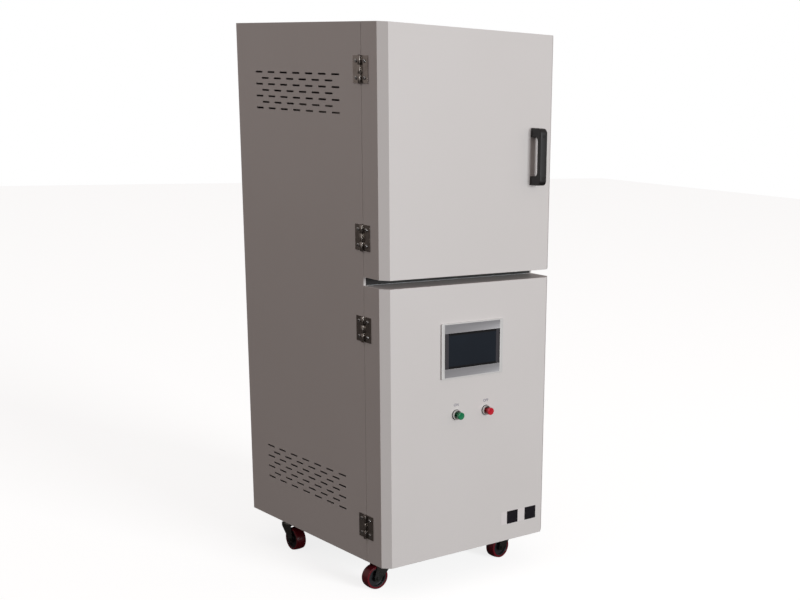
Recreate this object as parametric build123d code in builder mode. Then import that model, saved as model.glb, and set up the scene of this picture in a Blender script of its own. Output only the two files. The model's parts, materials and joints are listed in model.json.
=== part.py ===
from build123d import *
from math import cos, radians, sin
import os

# A tall cabinet muffle furnace on castors, with the hot chamber behind its upper door and the electrical
# compartment behind its lower one. Millimetres. +X is to the right as seen from the front, +Y to the back
# and +Z up. The origin is on the floor, under the middle of the closed cabinet.

# Cabinet
cabinet_width = 616
cabinet_depth = 668  # from the seam behind the doors to the back
body_height = 1527  # from the lower edge of the lower door to the top
sheet = 1.5  # folded steel of the panels and door skins
plate = 2.5  # heavier steel of the base pan and the mid shelf
fit_gap = 0.3  # between fixed pieces that are fitted side by side
return_width = 22  # lip of each side panel, folded in behind the doors
flange_height = 20  # folded edges of pans, shelves and back panels
skirt_height = 4  # the panels hang this far below the base pan

# Doors
door_depth = 98  # from the seam to the front face
door_chamfer = 22  # both front upright edges
seam_gap = 1.5  # between the cabinet and the closed doors
lower_door_height = 822
door_spacing = 24  # between the two doors
door_lip = 20  # folded in round the open back of each door

# Side vents
slot_length = 40
slot_width = 5
slot_pitch = 68.9
slot_row_pitch = 17.1
slot_columns = 7
slot_rows = 4
upper_vent_drop = 189.3  # from the top to the middle of the upper block
lower_vent_height = 187.8  # from the lower edge of the body to the middle of the lower block

# Hinges
hinge_height = 72
hinge_reach = 36  # from the pin to the end of a leaf
hinge_leaf_thickness = 2
knuckle_radius = 4.6
hinge_standoff = 5  # from the side of the cabinet to the pin
knuckle_gap = 0.5
pin_radius = 2.5
pin_clearance = 0.05
pin_head_radius = 3.8
pin_head_thickness = 1.2
hinge_top_inset = 123  # from the top of a door to the middle of its upper hinge
hinge_bottom_inset = 110

# Chamber
chamber_width = 240
chamber_height = 220
chamber_depth = 300
insulation_thickness = 110
plug_depth = 62
plug_clearance = 4
plug_taper = 8
casing_sheet = 1.5
support_height = 40
front_plate_setback = 8
hearth_thickness = 10
hearth_inset = 6
gasket_width = 14
gasket_outset = 26
gasket_corner = 20

# Heating elements
element_leg_spacing = 50
element_hot_radius = 3
element_sides = 8
element_cold_radius = 6
element_wall_gap = 15
element_pitch = 120
element_floor_gap = 24
element_cold_drop = 12
element_cold_rise = 95
element_clearance = 0.1
element_count = 2
clamp_width = 26
clamp_overhang = 18
clamp_height = 22

# Services at the back
thermocouple_radius = 5
thermocouple_reach = 40
thermocouple_head_radius = 22
thermocouple_head_length = 40
thermocouple_above_centre = 70
flue_radius = 20
flue_wall = 1.5
flue_above_centre = 45
flue_offset = 60
flue_proud = 40
flue_flange_radius = 36
service_clearance = 0.3
gland_bore_radius = 9
gland_thread_radius = 16
gland_nut_radius = 21
gland_nut_height = 9
gland_proud = 28
gland_inside = 12
gland_height = 90
gland_offset = 190
fan_size = 120
fan_depth = 38
fan_bore_radius = 57
fan_hub_radius = 22
fan_blade_count = 7
fan_tip_gap = 4
fan_blade_thickness = 1.6
fan_drop = 274  # from the top of the mid shelf to the axis of the fan
fan_offset = 120
fan_strut_width = 6
fan_plate = 5
shaft_radius = 4
shaft_length = 24
shaft_clearance = 0.05
rotor_gap = 0.6
rotor_length = 27
grille_slot_count = 16
grille_slot_width = 6
grille_inner_radius = 20
grille_outer_radius = 54

# Electrical compartment
panel_setback = 340  # from the seam to the mounting panel
panel_bottom = 250
panel_headroom = 24  # from the mounting panel to the mid shelf
transformer_width = 200
transformer_depth = 120
transformer_height = 180
transformer_limb = 40
transformer_coil_gap = 6
regulator_width = 120
regulator_height = 170
regulator_depth = 70
regulator_fins = 9
regulator_fin_depth = 45
regulator_fin_thickness = 2.5
breaker_width = 54
breaker_height = 80
breaker_depth = 62
breaker_nose = 45
toggle_radius = 7
toggle_length = 16
toggle_width = 44
toggle_clearance = 0.4
toggle_rest_angle = 35
contactor_width = 56
contactor_height = 86
contactor_depth = 82
terminal_count = 12
terminal_pitch = 8
terminal_height = 46
terminal_depth = 44

# Handle
handle_length = 164
handle_width = 25
handle_standoff = 46
handle_grip = 15
handle_foot_height = 26
handle_corner = 16
handle_inner_corner = 12
handle_edge = 4
handle_from_edge = 85
handle_above_bottom = 336  # middle of the handle above the lower edge of the upper door

# Touch panel and push buttons
screen_bezel_width = 226
screen_bezel_height = 163
screen_bezel_thickness = 6
screen_bezel_corner = 3
screen_bezel_chamfer = 1.5
screen_width = 204
screen_height = 106
screen_recess = 1
screen_thickness = 2.5
housing_width = 214
housing_height = 151
housing_depth = 42
housing_chamfer = 4
cutout_clearance = 0.5
screen_drop = 193  # from the top of the lower door to the middle of the screen
button_drop = 193.5  # from the middle of the screen to the buttons
button_spacing = 111
button_ring_radius = 14.5
button_ring_height = 9
button_ring_taper = 8
button_floor = 1
button_collar_radius = 15.5
button_collar_height = 2
button_neck_radius = 11
button_neck_length = 16
button_cap_radius = 11.2
button_cap_proud = 4
button_cap_edge = 0.8
button_clearance = 0.4
button_travel = 4
button_stem_radius = 6
contact_block_width = 30
contact_block_height = 42
contact_block_depth = 46

# Magnetic catches
catch_width = 14
catch_height = 45

# Castors
castor_height = 108
wheel_radius = 37.5
wheel_width = 32
rim_radius = 30
rim_half_width = 15
tread_crown = 1.5
hub_radius = 11
hub_proud = 1
wheel_web = 12
rim_thickness = 4
axle_radius = 4
axle_clearance = 0.05
axle_head_radius = 7
axle_head_thickness = 4
axle_head_gap = 0.2
wheel_side_gap = 1.5
fork_thickness = 2.5
fork_crown_height = 84
fork_crown_length = 52
fork_shoulder = 12
fork_foot_radius = 12
castor_trail = 25
race_radius = 26
race_gap = 0.5
race_taper = 20
king_pin_radius = 6
king_pin_head_radius = 10
king_pin_head_thickness = 3
castor_plate_length = 76
castor_plate_depth = 56
castor_plate_thickness = 3
castor_plate_corner = 4
rail_width = 70
rail_height = 25
front_castor_inset = 72
front_castor_setback = 31
rear_castor_inset = 45
rear_castor_setback = 508
castor_headings = {"front_left": 0, "front_right": 8, "rear_left": 90, "rear_right": 64}

# Places that follow from the sizes above
half_width = cabinet_width / 2
front = -(cabinet_depth + door_depth) / 2
seam = front + door_depth
back = seam + cabinet_depth
door_back = seam - seam_gap
bottom = castor_height - skirt_height
top = bottom + body_height
inner_half = half_width - sheet - fit_gap
upper_door_height = body_height - lower_door_height - door_spacing
upper_door_bottom = top - upper_door_height
shelf_top = bottom + lower_door_height + door_spacing / 2
pan_top = castor_height + plate
pan_front = seam + sheet + fit_gap
pan_back = back - sheet - fit_gap

casing_bottom = shelf_top + support_height
casing_inner_width = chamber_width + 2 * insulation_thickness
casing_inner_height = chamber_height + 2 * insulation_thickness
front_plate_front = seam + front_plate_setback
casing_front = front_plate_front + sheet + fit_gap
mouth_depth = door_back - casing_front + plug_depth + plug_clearance
casing_inner_depth = mouth_depth + chamber_depth + insulation_thickness
casing_back = casing_front + casing_inner_depth + casing_sheet
chamber_floor = casing_bottom + casing_sheet + insulation_thickness
chamber_middle = chamber_floor + chamber_height / 2
chamber_roof = chamber_floor + chamber_height
chamber_front = casing_front + mouth_depth
chamber_back = chamber_front + chamber_depth
casing_top = chamber_roof + insulation_thickness + casing_sheet
element_x = chamber_width / 2 - element_wall_gap
element_middle = (chamber_front + chamber_back) / 2
flue_z = chamber_middle + flue_above_centre
thermocouple_z = chamber_middle + thermocouple_above_centre

hinge_heights = {
    "upper_door": (upper_door_bottom + hinge_bottom_inset, top - hinge_top_inset),
    "lower_door": (bottom + hinge_bottom_inset, bottom + lower_door_height - hinge_top_inset),
}
hinge_x = -half_width - hinge_standoff
castor_places = {
    "front_left": (-half_width + front_castor_inset, seam + front_castor_setback),
    "front_right": (half_width - front_castor_inset, seam + front_castor_setback),
    "rear_left": (-half_width + rear_castor_inset, seam + rear_castor_setback),
    "rear_right": (half_width - rear_castor_inset, seam + rear_castor_setback),
}

os.makedirs("parts", exist_ok=True)


def front_facing(y):
    """A sketch plane at depth y that faces the front: its x is the object's x and its y is height."""
    return Plane(origin=(0, y, 0), x_dir=(1, 0, 0), z_dir=(0, -1, 0))


def side_facing(x):
    """A sketch plane at x that faces right: its x is depth and its y is height."""
    return Plane(origin=(x, 0, 0), x_dir=(0, 1, 0), z_dir=(1, 0, 0))


def wall_side(side):
    """Aligns a sketch shape so that its outer edge is on the left (-1) or right (+1) wall."""
    return Align.MAX if side > 0 else Align.MIN


# Base pan, with its edges folded up
with BuildPart() as base_pan:
    with BuildSketch(Plane.XY.offset(castor_height)):
        with Locations((0, (pan_front + pan_back) / 2)):
            Rectangle(2 * inner_half, pan_back - pan_front)
    extrude(amount=flange_height)
    offset(amount=-plate, openings=base_pan.faces().sort_by(Axis.Z)[-1])
base_pan.part.label = "base_pan"
export_step(base_pan.part, "parts/base_pan.step")

# Castor rails, two hat sections across the pan over the castors
with BuildPart() as castor_rails:
    for rail_middle in (pan_front + plate + fit_gap + rail_width / 2, seam + rear_castor_setback):
        with BuildSketch(side_facing(-inner_half + plate + fit_gap)):
            with Locations((rail_middle, pan_top)):
                Rectangle(rail_width, rail_height, align=(Align.CENTER, Align.MIN))
                Rectangle(
                    rail_width - 2 * plate,
                    rail_height - plate,
                    align=(Align.CENTER, Align.MIN),
                    mode=Mode.SUBTRACT,
                )
        extrude(amount=2 * (inner_half - plate - fit_gap))
castor_rails.part.label = "castor_rails"
export_step(castor_rails.part, "parts/castor_rails.step")


def side_panel(side):
    """One side of the cabinet, folded in at the front, with two blocks of staggered slots."""
    with BuildPart() as panel:
        with BuildSketch(Plane.XY.offset(bottom)):
            with Locations((side * half_width, seam)):
                Rectangle(sheet, cabinet_depth, align=(wall_side(side), Align.MIN))
                Rectangle(return_width, sheet, align=(wall_side(side), Align.MIN))
        extrude(amount=body_height)
        with BuildSketch(side_facing(side * half_width)):
            for vent_z in (top - upper_vent_drop, bottom + lower_vent_height):
                with Locations(((seam + back) / 2, vent_z)):
                    with GridLocations(slot_pitch, 2 * slot_row_pitch, slot_columns, slot_rows):
                        Rectangle(slot_length, slot_width)
                    with GridLocations(slot_pitch, 2 * slot_row_pitch, slot_columns - 1, slot_rows - 1):
                        Rectangle(slot_length, slot_width)
        extrude(amount=-side * sheet, mode=Mode.SUBTRACT)
    return panel


left_side_panel = side_panel(-1)
left_side_panel.part.label = "left_side_panel"
export_step(left_side_panel.part, "parts/left_side_panel.step")

right_side_panel = side_panel(1)
right_side_panel.part.label = "right_side_panel"
export_step(right_side_panel.part, "parts/right_side_panel.step")

# Top panel and mid shelf, with their edges folded down
with BuildPart() as top_panel:
    with BuildSketch(Plane.XY.offset(top)):
        with Locations((0, (pan_front + pan_back) / 2)):
            Rectangle(2 * inner_half, pan_back - pan_front)
    extrude(amount=-flange_height)
    offset(amount=-sheet, openings=top_panel.faces().sort_by(Axis.Z)[0])
top_panel.part.label = "top_panel"
export_step(top_panel.part, "parts/top_panel.step")

with BuildPart() as mid_shelf:
    with BuildSketch(Plane.XY.offset(shelf_top)):
        with Locations((0, (pan_front + pan_back) / 2)):
            Rectangle(2 * inner_half, pan_back - pan_front)
    extrude(amount=-flange_height)
    offset(amount=-plate, openings=mid_shelf.faces().sort_by(Axis.Z)[0])
mid_shelf.part.label = "mid_shelf"
export_step(mid_shelf.part, "parts/mid_shelf.step")

# Back panels
with BuildPart() as upper_back_panel:
    with BuildSketch(front_facing(back)):
        with Locations((0, (shelf_top + fit_gap + top) / 2)):
            Rectangle(2 * inner_half, top - shelf_top - fit_gap)
        with Locations((flue_offset, flue_z)):
            Circle(flue_radius + service_clearance, mode=Mode.SUBTRACT)
    extrude(amount=sheet)
upper_back_panel.part.label = "upper_back_panel"
export_step(upper_back_panel.part, "parts/upper_back_panel.step")

grille_middle = (grille_inner_radius + grille_outer_radius) / 2
fan_z = shelf_top - fan_drop
with BuildPart() as lower_back_panel:
    with BuildSketch(front_facing(back)):
        with Locations((0, (bottom + shelf_top) / 2)):
            Rectangle(2 * inner_half, shelf_top - bottom)
        with Locations((-gland_offset, bottom + gland_height)):
            Circle(gland_thread_radius + service_clearance, mode=Mode.SUBTRACT)
        with Locations((fan_offset, fan_z)):
            with PolarLocations(grille_middle, grille_slot_count):
                SlotOverall(
                    grille_outer_radius - grille_inner_radius, grille_slot_width, mode=Mode.SUBTRACT
                )
    extrude(amount=sheet)
lower_back_panel.part.label = "lower_back_panel"
export_step(lower_back_panel.part, "parts/lower_back_panel.step")

# Front plate round the chamber mouth
front_plate_bottom = shelf_top + fit_gap
front_plate_top = top - flange_height - fit_gap
with BuildPart() as chamber_front_plate:
    with BuildSketch(front_facing(front_plate_front)):
        with Locations((0, (front_plate_bottom + front_plate_top) / 2)):
            Rectangle(2 * inner_half, front_plate_top - front_plate_bottom)
        with Locations((0, chamber_middle)):
            Rectangle(chamber_width, chamber_height, mode=Mode.SUBTRACT)
    extrude(amount=-sheet)
chamber_front_plate.part.label = "chamber_front_plate"
export_step(chamber_front_plate.part, "parts/chamber_front_plate.step")

# Chamber casing, a steel box open at the front, on two channels
element_places = [
    (side * element_x, element_middle + (k - (element_count - 1) / 2) * element_pitch)
    for side in (-1, 1)
    for k in range(element_count)
]
casing_half = casing_inner_width / 2 + casing_sheet
with BuildPart() as chamber_casing:
    with BuildSketch(front_facing(casing_front)):
        with Locations((0, casing_bottom)):
            Rectangle(2 * casing_half, casing_top - casing_bottom, align=(Align.CENTER, Align.MIN))
    extrude(amount=casing_front - casing_back)
    offset(amount=-casing_sheet, openings=chamber_casing.faces().sort_by(Axis.Y)[0])
    with BuildSketch(Plane.XY.offset(casing_top)):
        with Locations(*element_places):
            SlotCenterToCenter(element_leg_spacing, 2 * element_cold_radius + 4, rotation=90)
    extrude(amount=-casing_sheet, mode=Mode.SUBTRACT)
    with BuildSketch(front_facing(casing_back)):
        with Locations((flue_offset, flue_z)):
            Circle(flue_radius + service_clearance)
        with Locations((-flue_offset, thermocouple_z)):
            Circle(thermocouple_radius + service_clearance)
    extrude(amount=casing_sheet, mode=Mode.SUBTRACT)
chamber_casing.part.label = "chamber_casing"
export_step(chamber_casing.part, "parts/chamber_casing.step")

with BuildPart() as casing_supports:
    with BuildSketch(front_facing(casing_front)):
        for side in (-1, 1):
            with Locations((side * casing_inner_width / 3, shelf_top)):
                Rectangle(support_height, support_height, align=(Align.CENTER, Align.MIN))
            with Locations((side * casing_inner_width / 3 + plate, shelf_top + plate)):
                Rectangle(
                    support_height,
                    support_height - 2 * plate,
                    align=(Align.CENTER, Align.MIN),
                    mode=Mode.SUBTRACT,
                )
    extrude(amount=-(casing_inner_depth + casing_sheet))
casing_supports.part.label = "casing_supports"
export_step(casing_supports.part, "parts/casing_supports.step")

# Fibre boards round the chamber
board_half = casing_inner_width / 2 - fit_gap
board_length = casing_inner_depth - fit_gap
with BuildPart() as insulation_floor:
    with BuildSketch(front_facing(casing_front)):
        with Locations((0, chamber_floor)):
            Rectangle(2 * board_half, insulation_thickness, align=(Align.CENTER, Align.MAX))
    extrude(amount=-board_length)
insulation_floor.part.label = "insulation_floor"
export_step(insulation_floor.part, "parts/insulation_floor.step")

with BuildPart() as insulation_roof:
    with BuildSketch(front_facing(casing_front)):
        with Locations((0, chamber_roof)):
            Rectangle(2 * board_half, insulation_thickness, align=(Align.CENTER, Align.MIN))
    extrude(amount=-board_length)
    with BuildSketch(Plane.XY.offset(chamber_roof)):
        with Locations(*element_places):
            with GridLocations(0, element_leg_spacing, 1, 2):
                Circle(element_cold_radius + 1)
    extrude(amount=insulation_thickness, mode=Mode.SUBTRACT)
insulation_roof.part.label = "insulation_roof"
export_step(insulation_roof.part, "parts/insulation_roof.step")

with BuildPart() as insulation_walls:
    with BuildSketch(front_facing(casing_front)):
        for side in (-1, 1):
            with Locations((side * board_half, chamber_middle)):
                Rectangle(
                    board_half - chamber_width / 2, chamber_height, align=(wall_side(side), Align.CENTER)
                )
    extrude(amount=-board_length)
    with BuildSketch(front_facing(chamber_back)):
        with Locations((0, chamber_middle)):
            Rectangle(chamber_width - 2 * fit_gap, chamber_height)
        with Locations((flue_offset, flue_z)):
            Circle(flue_radius + service_clearance, mode=Mode.SUBTRACT)
        with Locations((-flue_offset, thermocouple_z)):
            Circle(thermocouple_radius + service_clearance, mode=Mode.SUBTRACT)
    extrude(amount=-(insulation_thickness - fit_gap))
insulation_walls.part.label = "insulation_walls"
export_step(insulation_walls.part, "parts/insulation_walls.step")

with BuildPart() as hearth_plate:
    with BuildSketch(Plane.XY.offset(chamber_floor)):
        with Locations((0, (chamber_front + chamber_back) / 2)):
            RectangleRounded(
                chamber_width - 2 * hearth_inset, chamber_depth - 2 * hearth_inset, hearth_inset
            )
    extrude(amount=hearth_thickness)
hearth_plate.part.label = "hearth_plate"
export_step(hearth_plate.part, "parts/hearth_plate.step")

# Heating elements, U-shaped hairpins with thick cold ends that pass up through the roof
element_bend = element_leg_spacing / 2
element_low = chamber_floor + hearth_thickness + element_floor_gap
element_join = chamber_roof - element_cold_drop
element_top = casing_top + element_cold_rise
with BuildPart() as heating_elements:
    for x, y in element_places:
        with BuildLine(side_facing(x)) as hairpin:
            Line((y - element_bend, element_join), (y - element_bend, element_low + element_bend))
            ThreePointArc(
                (y - element_bend, element_low + element_bend),
                (y, element_low),
                (y + element_bend, element_low + element_bend),
            )
            Line((y + element_bend, element_low + element_bend), (y + element_bend, element_join))
        with BuildSketch(Plane(origin=(x, y - element_bend, element_join), z_dir=(0, 0, -1))):
            RegularPolygon(element_hot_radius, element_sides)
        sweep(path=hairpin.line)
        with BuildSketch(Plane.XY.offset(element_join)):
            with Locations((x, y - element_bend), (x, y + element_bend)):
                Circle(element_cold_radius)
        extrude(amount=element_top - element_join)
heating_elements.part.label = "heating_elements"
export_step(heating_elements.part, "parts/heating_elements.step")

with BuildPart() as element_clamps:
    with BuildSketch(Plane.XY.offset(casing_top)):
        with Locations(*element_places):
            RectangleRounded(clamp_width, element_leg_spacing + 2 * clamp_overhang, 4)
            with GridLocations(0, element_leg_spacing, 1, 2):
                Circle(element_cold_radius + element_clearance, mode=Mode.SUBTRACT)
    extrude(amount=clamp_height)
element_clamps.part.label = "element_clamps"
export_step(element_clamps.part, "parts/element_clamps.step")

# Thermocouple, with its sheath in the chamber and its head behind the casing
with BuildPart() as thermocouple:
    with BuildSketch(front_facing(chamber_back - thermocouple_reach)):
        with Locations((-flue_offset, thermocouple_z)):
            Circle(thermocouple_radius)
    extrude(amount=chamber_back - thermocouple_reach - casing_back - fit_gap)
    with BuildSketch(front_facing(casing_back + fit_gap)):
        with Locations((-flue_offset, thermocouple_z)):
            Circle(thermocouple_head_radius)
    extrude(amount=-thermocouple_head_length)
    chamfer(thermocouple.edges().filter_by(GeomType.CIRCLE).sort_by(Axis.Y)[-1], 3)
thermocouple.part.label = "thermocouple"
export_step(thermocouple.part, "parts/thermocouple.step")

# Flue, a tube from the chamber out through the back panel, where a flange closes the hole
with BuildPart() as exhaust_port:
    with BuildSketch(front_facing(back + flue_proud)):
        with Locations((flue_offset, flue_z)):
            Circle(flue_radius)
    extrude(amount=back + flue_proud - chamber_back - fit_gap)
    with BuildSketch(front_facing(back + sheet)):
        with Locations((flue_offset, flue_z)):
            Circle(flue_flange_radius)
    extrude(amount=sheet)
    with BuildSketch(front_facing(back + flue_proud)):
        with Locations((flue_offset, flue_z)):
            Circle(flue_radius - flue_wall)
    extrude(amount=back + flue_proud - chamber_back, mode=Mode.SUBTRACT)
exhaust_port.part.label = "exhaust_port"
export_step(exhaust_port.part, "parts/exhaust_port.step")

# Electrical mounting panel, with its edges folded back
panel_front = seam + panel_setback
panel_height = shelf_top - flange_height - panel_headroom - bottom - panel_bottom
with BuildPart() as mounting_panel:
    with BuildSketch(front_facing(panel_front)):
        with Locations((0, bottom + panel_bottom)):
            Rectangle(2 * inner_half, panel_height, align=(Align.CENTER, Align.MIN))
    extrude(amount=-flange_height)
    offset(amount=-sheet, openings=mounting_panel.faces().sort_by(Axis.Y)[-1])
mounting_panel.part.label = "mounting_panel"
export_step(mounting_panel.part, "parts/mounting_panel.step")

# Step-down transformer: a core with two windows, and one coil on the middle limb
transformer_front = panel_front - transformer_depth - fit_gap
window_width = (transformer_width - 3 * transformer_limb) / 2
window_height = transformer_height - 2 * transformer_limb
core_depth = transformer_depth - 2 * (window_width - transformer_coil_gap)
core_middle = transformer_front + transformer_depth / 2
with BuildPart() as transformer:
    with BuildSketch(front_facing(core_middle - core_depth / 2)):
        with Locations((0, pan_top + transformer_height / 2)):
            Rectangle(transformer_width, transformer_height)
            with GridLocations(transformer_limb + window_width, 0, 2, 1):
                Rectangle(window_width, window_height, mode=Mode.SUBTRACT)
    extrude(amount=-core_depth)
    with BuildSketch(Plane.XY.offset(pan_top + transformer_limb + fit_gap)):
        with Locations((0, core_middle)):
            RectangleRounded(
                transformer_limb + 2 * (window_width - transformer_coil_gap),
                transformer_depth,
                window_width / 2,
            )
            Rectangle(transformer_limb + 2 * fit_gap, core_depth + 2 * fit_gap, mode=Mode.SUBTRACT)
    extrude(amount=window_height - 2 * fit_gap)
transformer.part.label = "transformer"
export_step(transformer.part, "parts/transformer.step")

# Power regulator: a finned heat sink against the panel, with the module in front of it
regulator_middle = -inner_half / 2
regulator_bottom = bottom + panel_bottom + panel_height / 2
fin_pitch = (regulator_width - regulator_fin_thickness) / (regulator_fins - 1)
with BuildPart() as power_regulator:
    with BuildSketch(Plane.XY.offset(regulator_bottom)):
        with Locations((regulator_middle, panel_front - regulator_depth)):
            Rectangle(
                regulator_width, regulator_depth - regulator_fin_depth, align=(Align.CENTER, Align.MIN)
            )
        with Locations((regulator_middle, panel_front - regulator_fin_depth / 2)):
            with GridLocations(fin_pitch, 0, regulator_fins, 1):
                Rectangle(regulator_fin_thickness, regulator_fin_depth)
    extrude(amount=regulator_height)
power_regulator.part.label = "power_regulator"
export_step(power_regulator.part, "parts/power_regulator.step")

# Circuit breaker and its toggle, whose drum turns in a recess of the nose
device_bottom = regulator_bottom + (regulator_height - breaker_height) / 2
breaker_left = regulator_middle + regulator_width
toggle_y = panel_front - breaker_depth
toggle_z = device_bottom + breaker_height / 2
with BuildPart() as circuit_breaker:
    with BuildSketch(side_facing(breaker_left)):
        with Locations((panel_front, toggle_z)):
            Rectangle(breaker_depth - 2 * toggle_radius, breaker_height, align=(Align.MAX, Align.CENTER))
            Rectangle(breaker_depth, breaker_nose, align=(Align.MAX, Align.CENTER))
    extrude(amount=breaker_width)
    with BuildSketch(side_facing(breaker_left + (breaker_width - toggle_width) / 2 - toggle_clearance)):
        with Locations((toggle_y, toggle_z)):
            Circle(toggle_radius + toggle_clearance)
    extrude(amount=toggle_width + 2 * toggle_clearance, mode=Mode.SUBTRACT)
circuit_breaker.part.label = "circuit_breaker"
export_step(circuit_breaker.part, "parts/circuit_breaker.step")

with BuildPart() as breaker_toggle:
    with BuildSketch(side_facing(breaker_left + (breaker_width - toggle_width) / 2)):
        with Locations((toggle_y, toggle_z)):
            Circle(toggle_radius)
            Rectangle(
                toggle_length,
                toggle_radius * 0.8,
                rotation=-toggle_rest_angle,
                align=(Align.MAX, Align.CENTER),
            )
    extrude(amount=toggle_width)
breaker_toggle.part.label = "breaker_toggle"
export_step(breaker_toggle.part, "parts/breaker_toggle.step")

# Contactor and terminal block
contactor_left = breaker_left + breaker_width + breaker_nose
with BuildPart() as contactor:
    with BuildSketch(side_facing(contactor_left)):
        with Locations((panel_front, toggle_z)):
            Rectangle(contactor_depth * 0.55, contactor_height, align=(Align.MAX, Align.CENTER))
            Rectangle(contactor_depth * 0.8, contactor_height * 0.7, align=(Align.MAX, Align.CENTER))
            Rectangle(contactor_depth, contactor_height * 0.4, align=(Align.MAX, Align.CENTER))
    extrude(amount=contactor_width)
contactor.part.label = "contactor"
export_step(contactor.part, "parts/contactor.step")

terminal_bottom = bottom + panel_bottom + flange_height
with BuildPart() as terminal_block:
    with BuildSketch(side_facing(breaker_left)):
        with Locations((panel_front, terminal_bottom)):
            Rectangle(terminal_depth, terminal_height, align=(Align.MAX, Align.MIN))
        with Locations((panel_front - terminal_depth, terminal_bottom + terminal_height / 2)):
            Rectangle(
                terminal_depth / 3, terminal_height / 3, align=(Align.MIN, Align.CENTER), mode=Mode.SUBTRACT
            )
    extrude(amount=terminal_count * terminal_pitch)
    with BuildSketch(Plane.XY.offset(terminal_bottom)):
        with Locations((breaker_left + terminal_count * terminal_pitch / 2, panel_front - terminal_depth)):
            with GridLocations(terminal_pitch, 0, terminal_count - 1, 1):
                Rectangle(1, terminal_depth / 3, align=(Align.CENTER, Align.MIN))
    extrude(amount=terminal_height, mode=Mode.SUBTRACT)
terminal_block.part.label = "terminal_block"
export_step(terminal_block.part, "parts/terminal_block.step")

# Cooling fan: a square housing on the inside of the back panel, and a rotor on its stub shaft
fan_back = back - sheet
with BuildPart() as fan_housing:
    with BuildSketch(front_facing(fan_back)):
        with Locations((fan_offset, fan_z)):
            RectangleRounded(fan_size, fan_size, 4)
            Circle(fan_bore_radius, mode=Mode.SUBTRACT)
    extrude(amount=fan_depth)
    with BuildSketch(front_facing(fan_back)):
        with Locations((fan_offset, fan_z)):
            Circle(fan_hub_radius)
            Rectangle(2 * fan_bore_radius + fan_strut_width / 2, fan_strut_width)
            Rectangle(fan_strut_width, 2 * fan_bore_radius + fan_strut_width / 2)
    extrude(amount=fan_plate)
    with BuildSketch(front_facing(fan_back - fan_plate)):
        with Locations((fan_offset, fan_z)):
            Circle(shaft_radius)
    extrude(amount=shaft_length)
fan_housing.part.label = "fan_housing"
export_step(fan_housing.part, "parts/fan_housing.step")

rotor_back = fan_back - fan_plate - rotor_gap
blade_root = 0.85 * fan_hub_radius
blade_tip = fan_bore_radius - fan_tip_gap
blade_sections = ((blade_root, 22, 48), (blade_tip, 30, 30))  # radius, chord and pitch
with BuildPart() as fan_rotor:
    with BuildSketch(front_facing(rotor_back)):
        with Locations((fan_offset, fan_z)):
            Circle(fan_hub_radius)
    extrude(amount=rotor_length)
    for blade in range(fan_blade_count):
        turn = radians(blade * 360 / fan_blade_count)
        outward = Vector(sin(turn), 0, cos(turn))
        around = Vector(cos(turn), 0, -sin(turn))
        for radius, chord, pitch in blade_sections:
            blade_origin = Vector(fan_offset, rotor_back - rotor_length / 2, fan_z) + outward * radius
            chord_direction = around * cos(radians(pitch)) + Vector(0, 1, 0) * sin(radians(pitch))
            with BuildSketch(Plane(origin=blade_origin, x_dir=chord_direction, z_dir=outward)):
                Rectangle(chord, fan_blade_thickness)
        loft()
    with BuildSketch(front_facing(rotor_back)):
        with Locations((fan_offset, fan_z)):
            Circle(shaft_radius + shaft_clearance)
    extrude(amount=shaft_length, mode=Mode.SUBTRACT)
fan_rotor.part.label = "fan_rotor"
export_step(fan_rotor.part, "parts/fan_rotor.step")

# Mains cable gland, clamped through the back panel by a locknut
gland_x, gland_z = -gland_offset, bottom + gland_height
with BuildPart() as cable_gland:
    with BuildSketch(front_facing(back - sheet - gland_inside)):
        with Locations((gland_x, gland_z)):
            Circle(gland_thread_radius)
    extrude(amount=-(gland_inside + sheet))
    with BuildSketch(front_facing(back)):
        with Locations((gland_x, gland_z)):
            RegularPolygon(gland_nut_radius, 6)
    extrude(amount=-gland_nut_height)
    with BuildSketch(front_facing(back + gland_nut_height)):
        with Locations((gland_x, gland_z)):
            Circle(gland_nut_radius - 3)
    extrude(amount=-(gland_proud - gland_nut_height), taper=6)
    with BuildSketch(front_facing(back - sheet - gland_inside)):
        with Locations((gland_x, gland_z)):
            Circle(gland_bore_radius)
    extrude(amount=-(gland_inside + sheet + gland_proud), mode=Mode.SUBTRACT)
    with BuildSketch(front_facing(back - sheet - fit_gap)):
        with Locations((gland_x, gland_z)):
            RegularPolygon(gland_nut_radius, 6)
            Circle(gland_thread_radius + fit_gap, mode=Mode.SUBTRACT)
    extrude(amount=gland_nut_height - 3)
cable_gland.part.label = "cable_gland"
export_step(cable_gland.part, "parts/cable_gland.step")


def knuckle_spans(middle, door_side):
    """Height ranges of a hinge's knuckles: the door has the middle one and the cabinet the other two."""
    third = hinge_height / 3
    if door_side:
        return [(middle - third / 2 + knuckle_gap, middle + third / 2 - knuckle_gap)]
    return [
        (middle - hinge_height / 2, middle - third / 2),
        (middle + third / 2, middle + hinge_height / 2),
    ]


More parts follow.
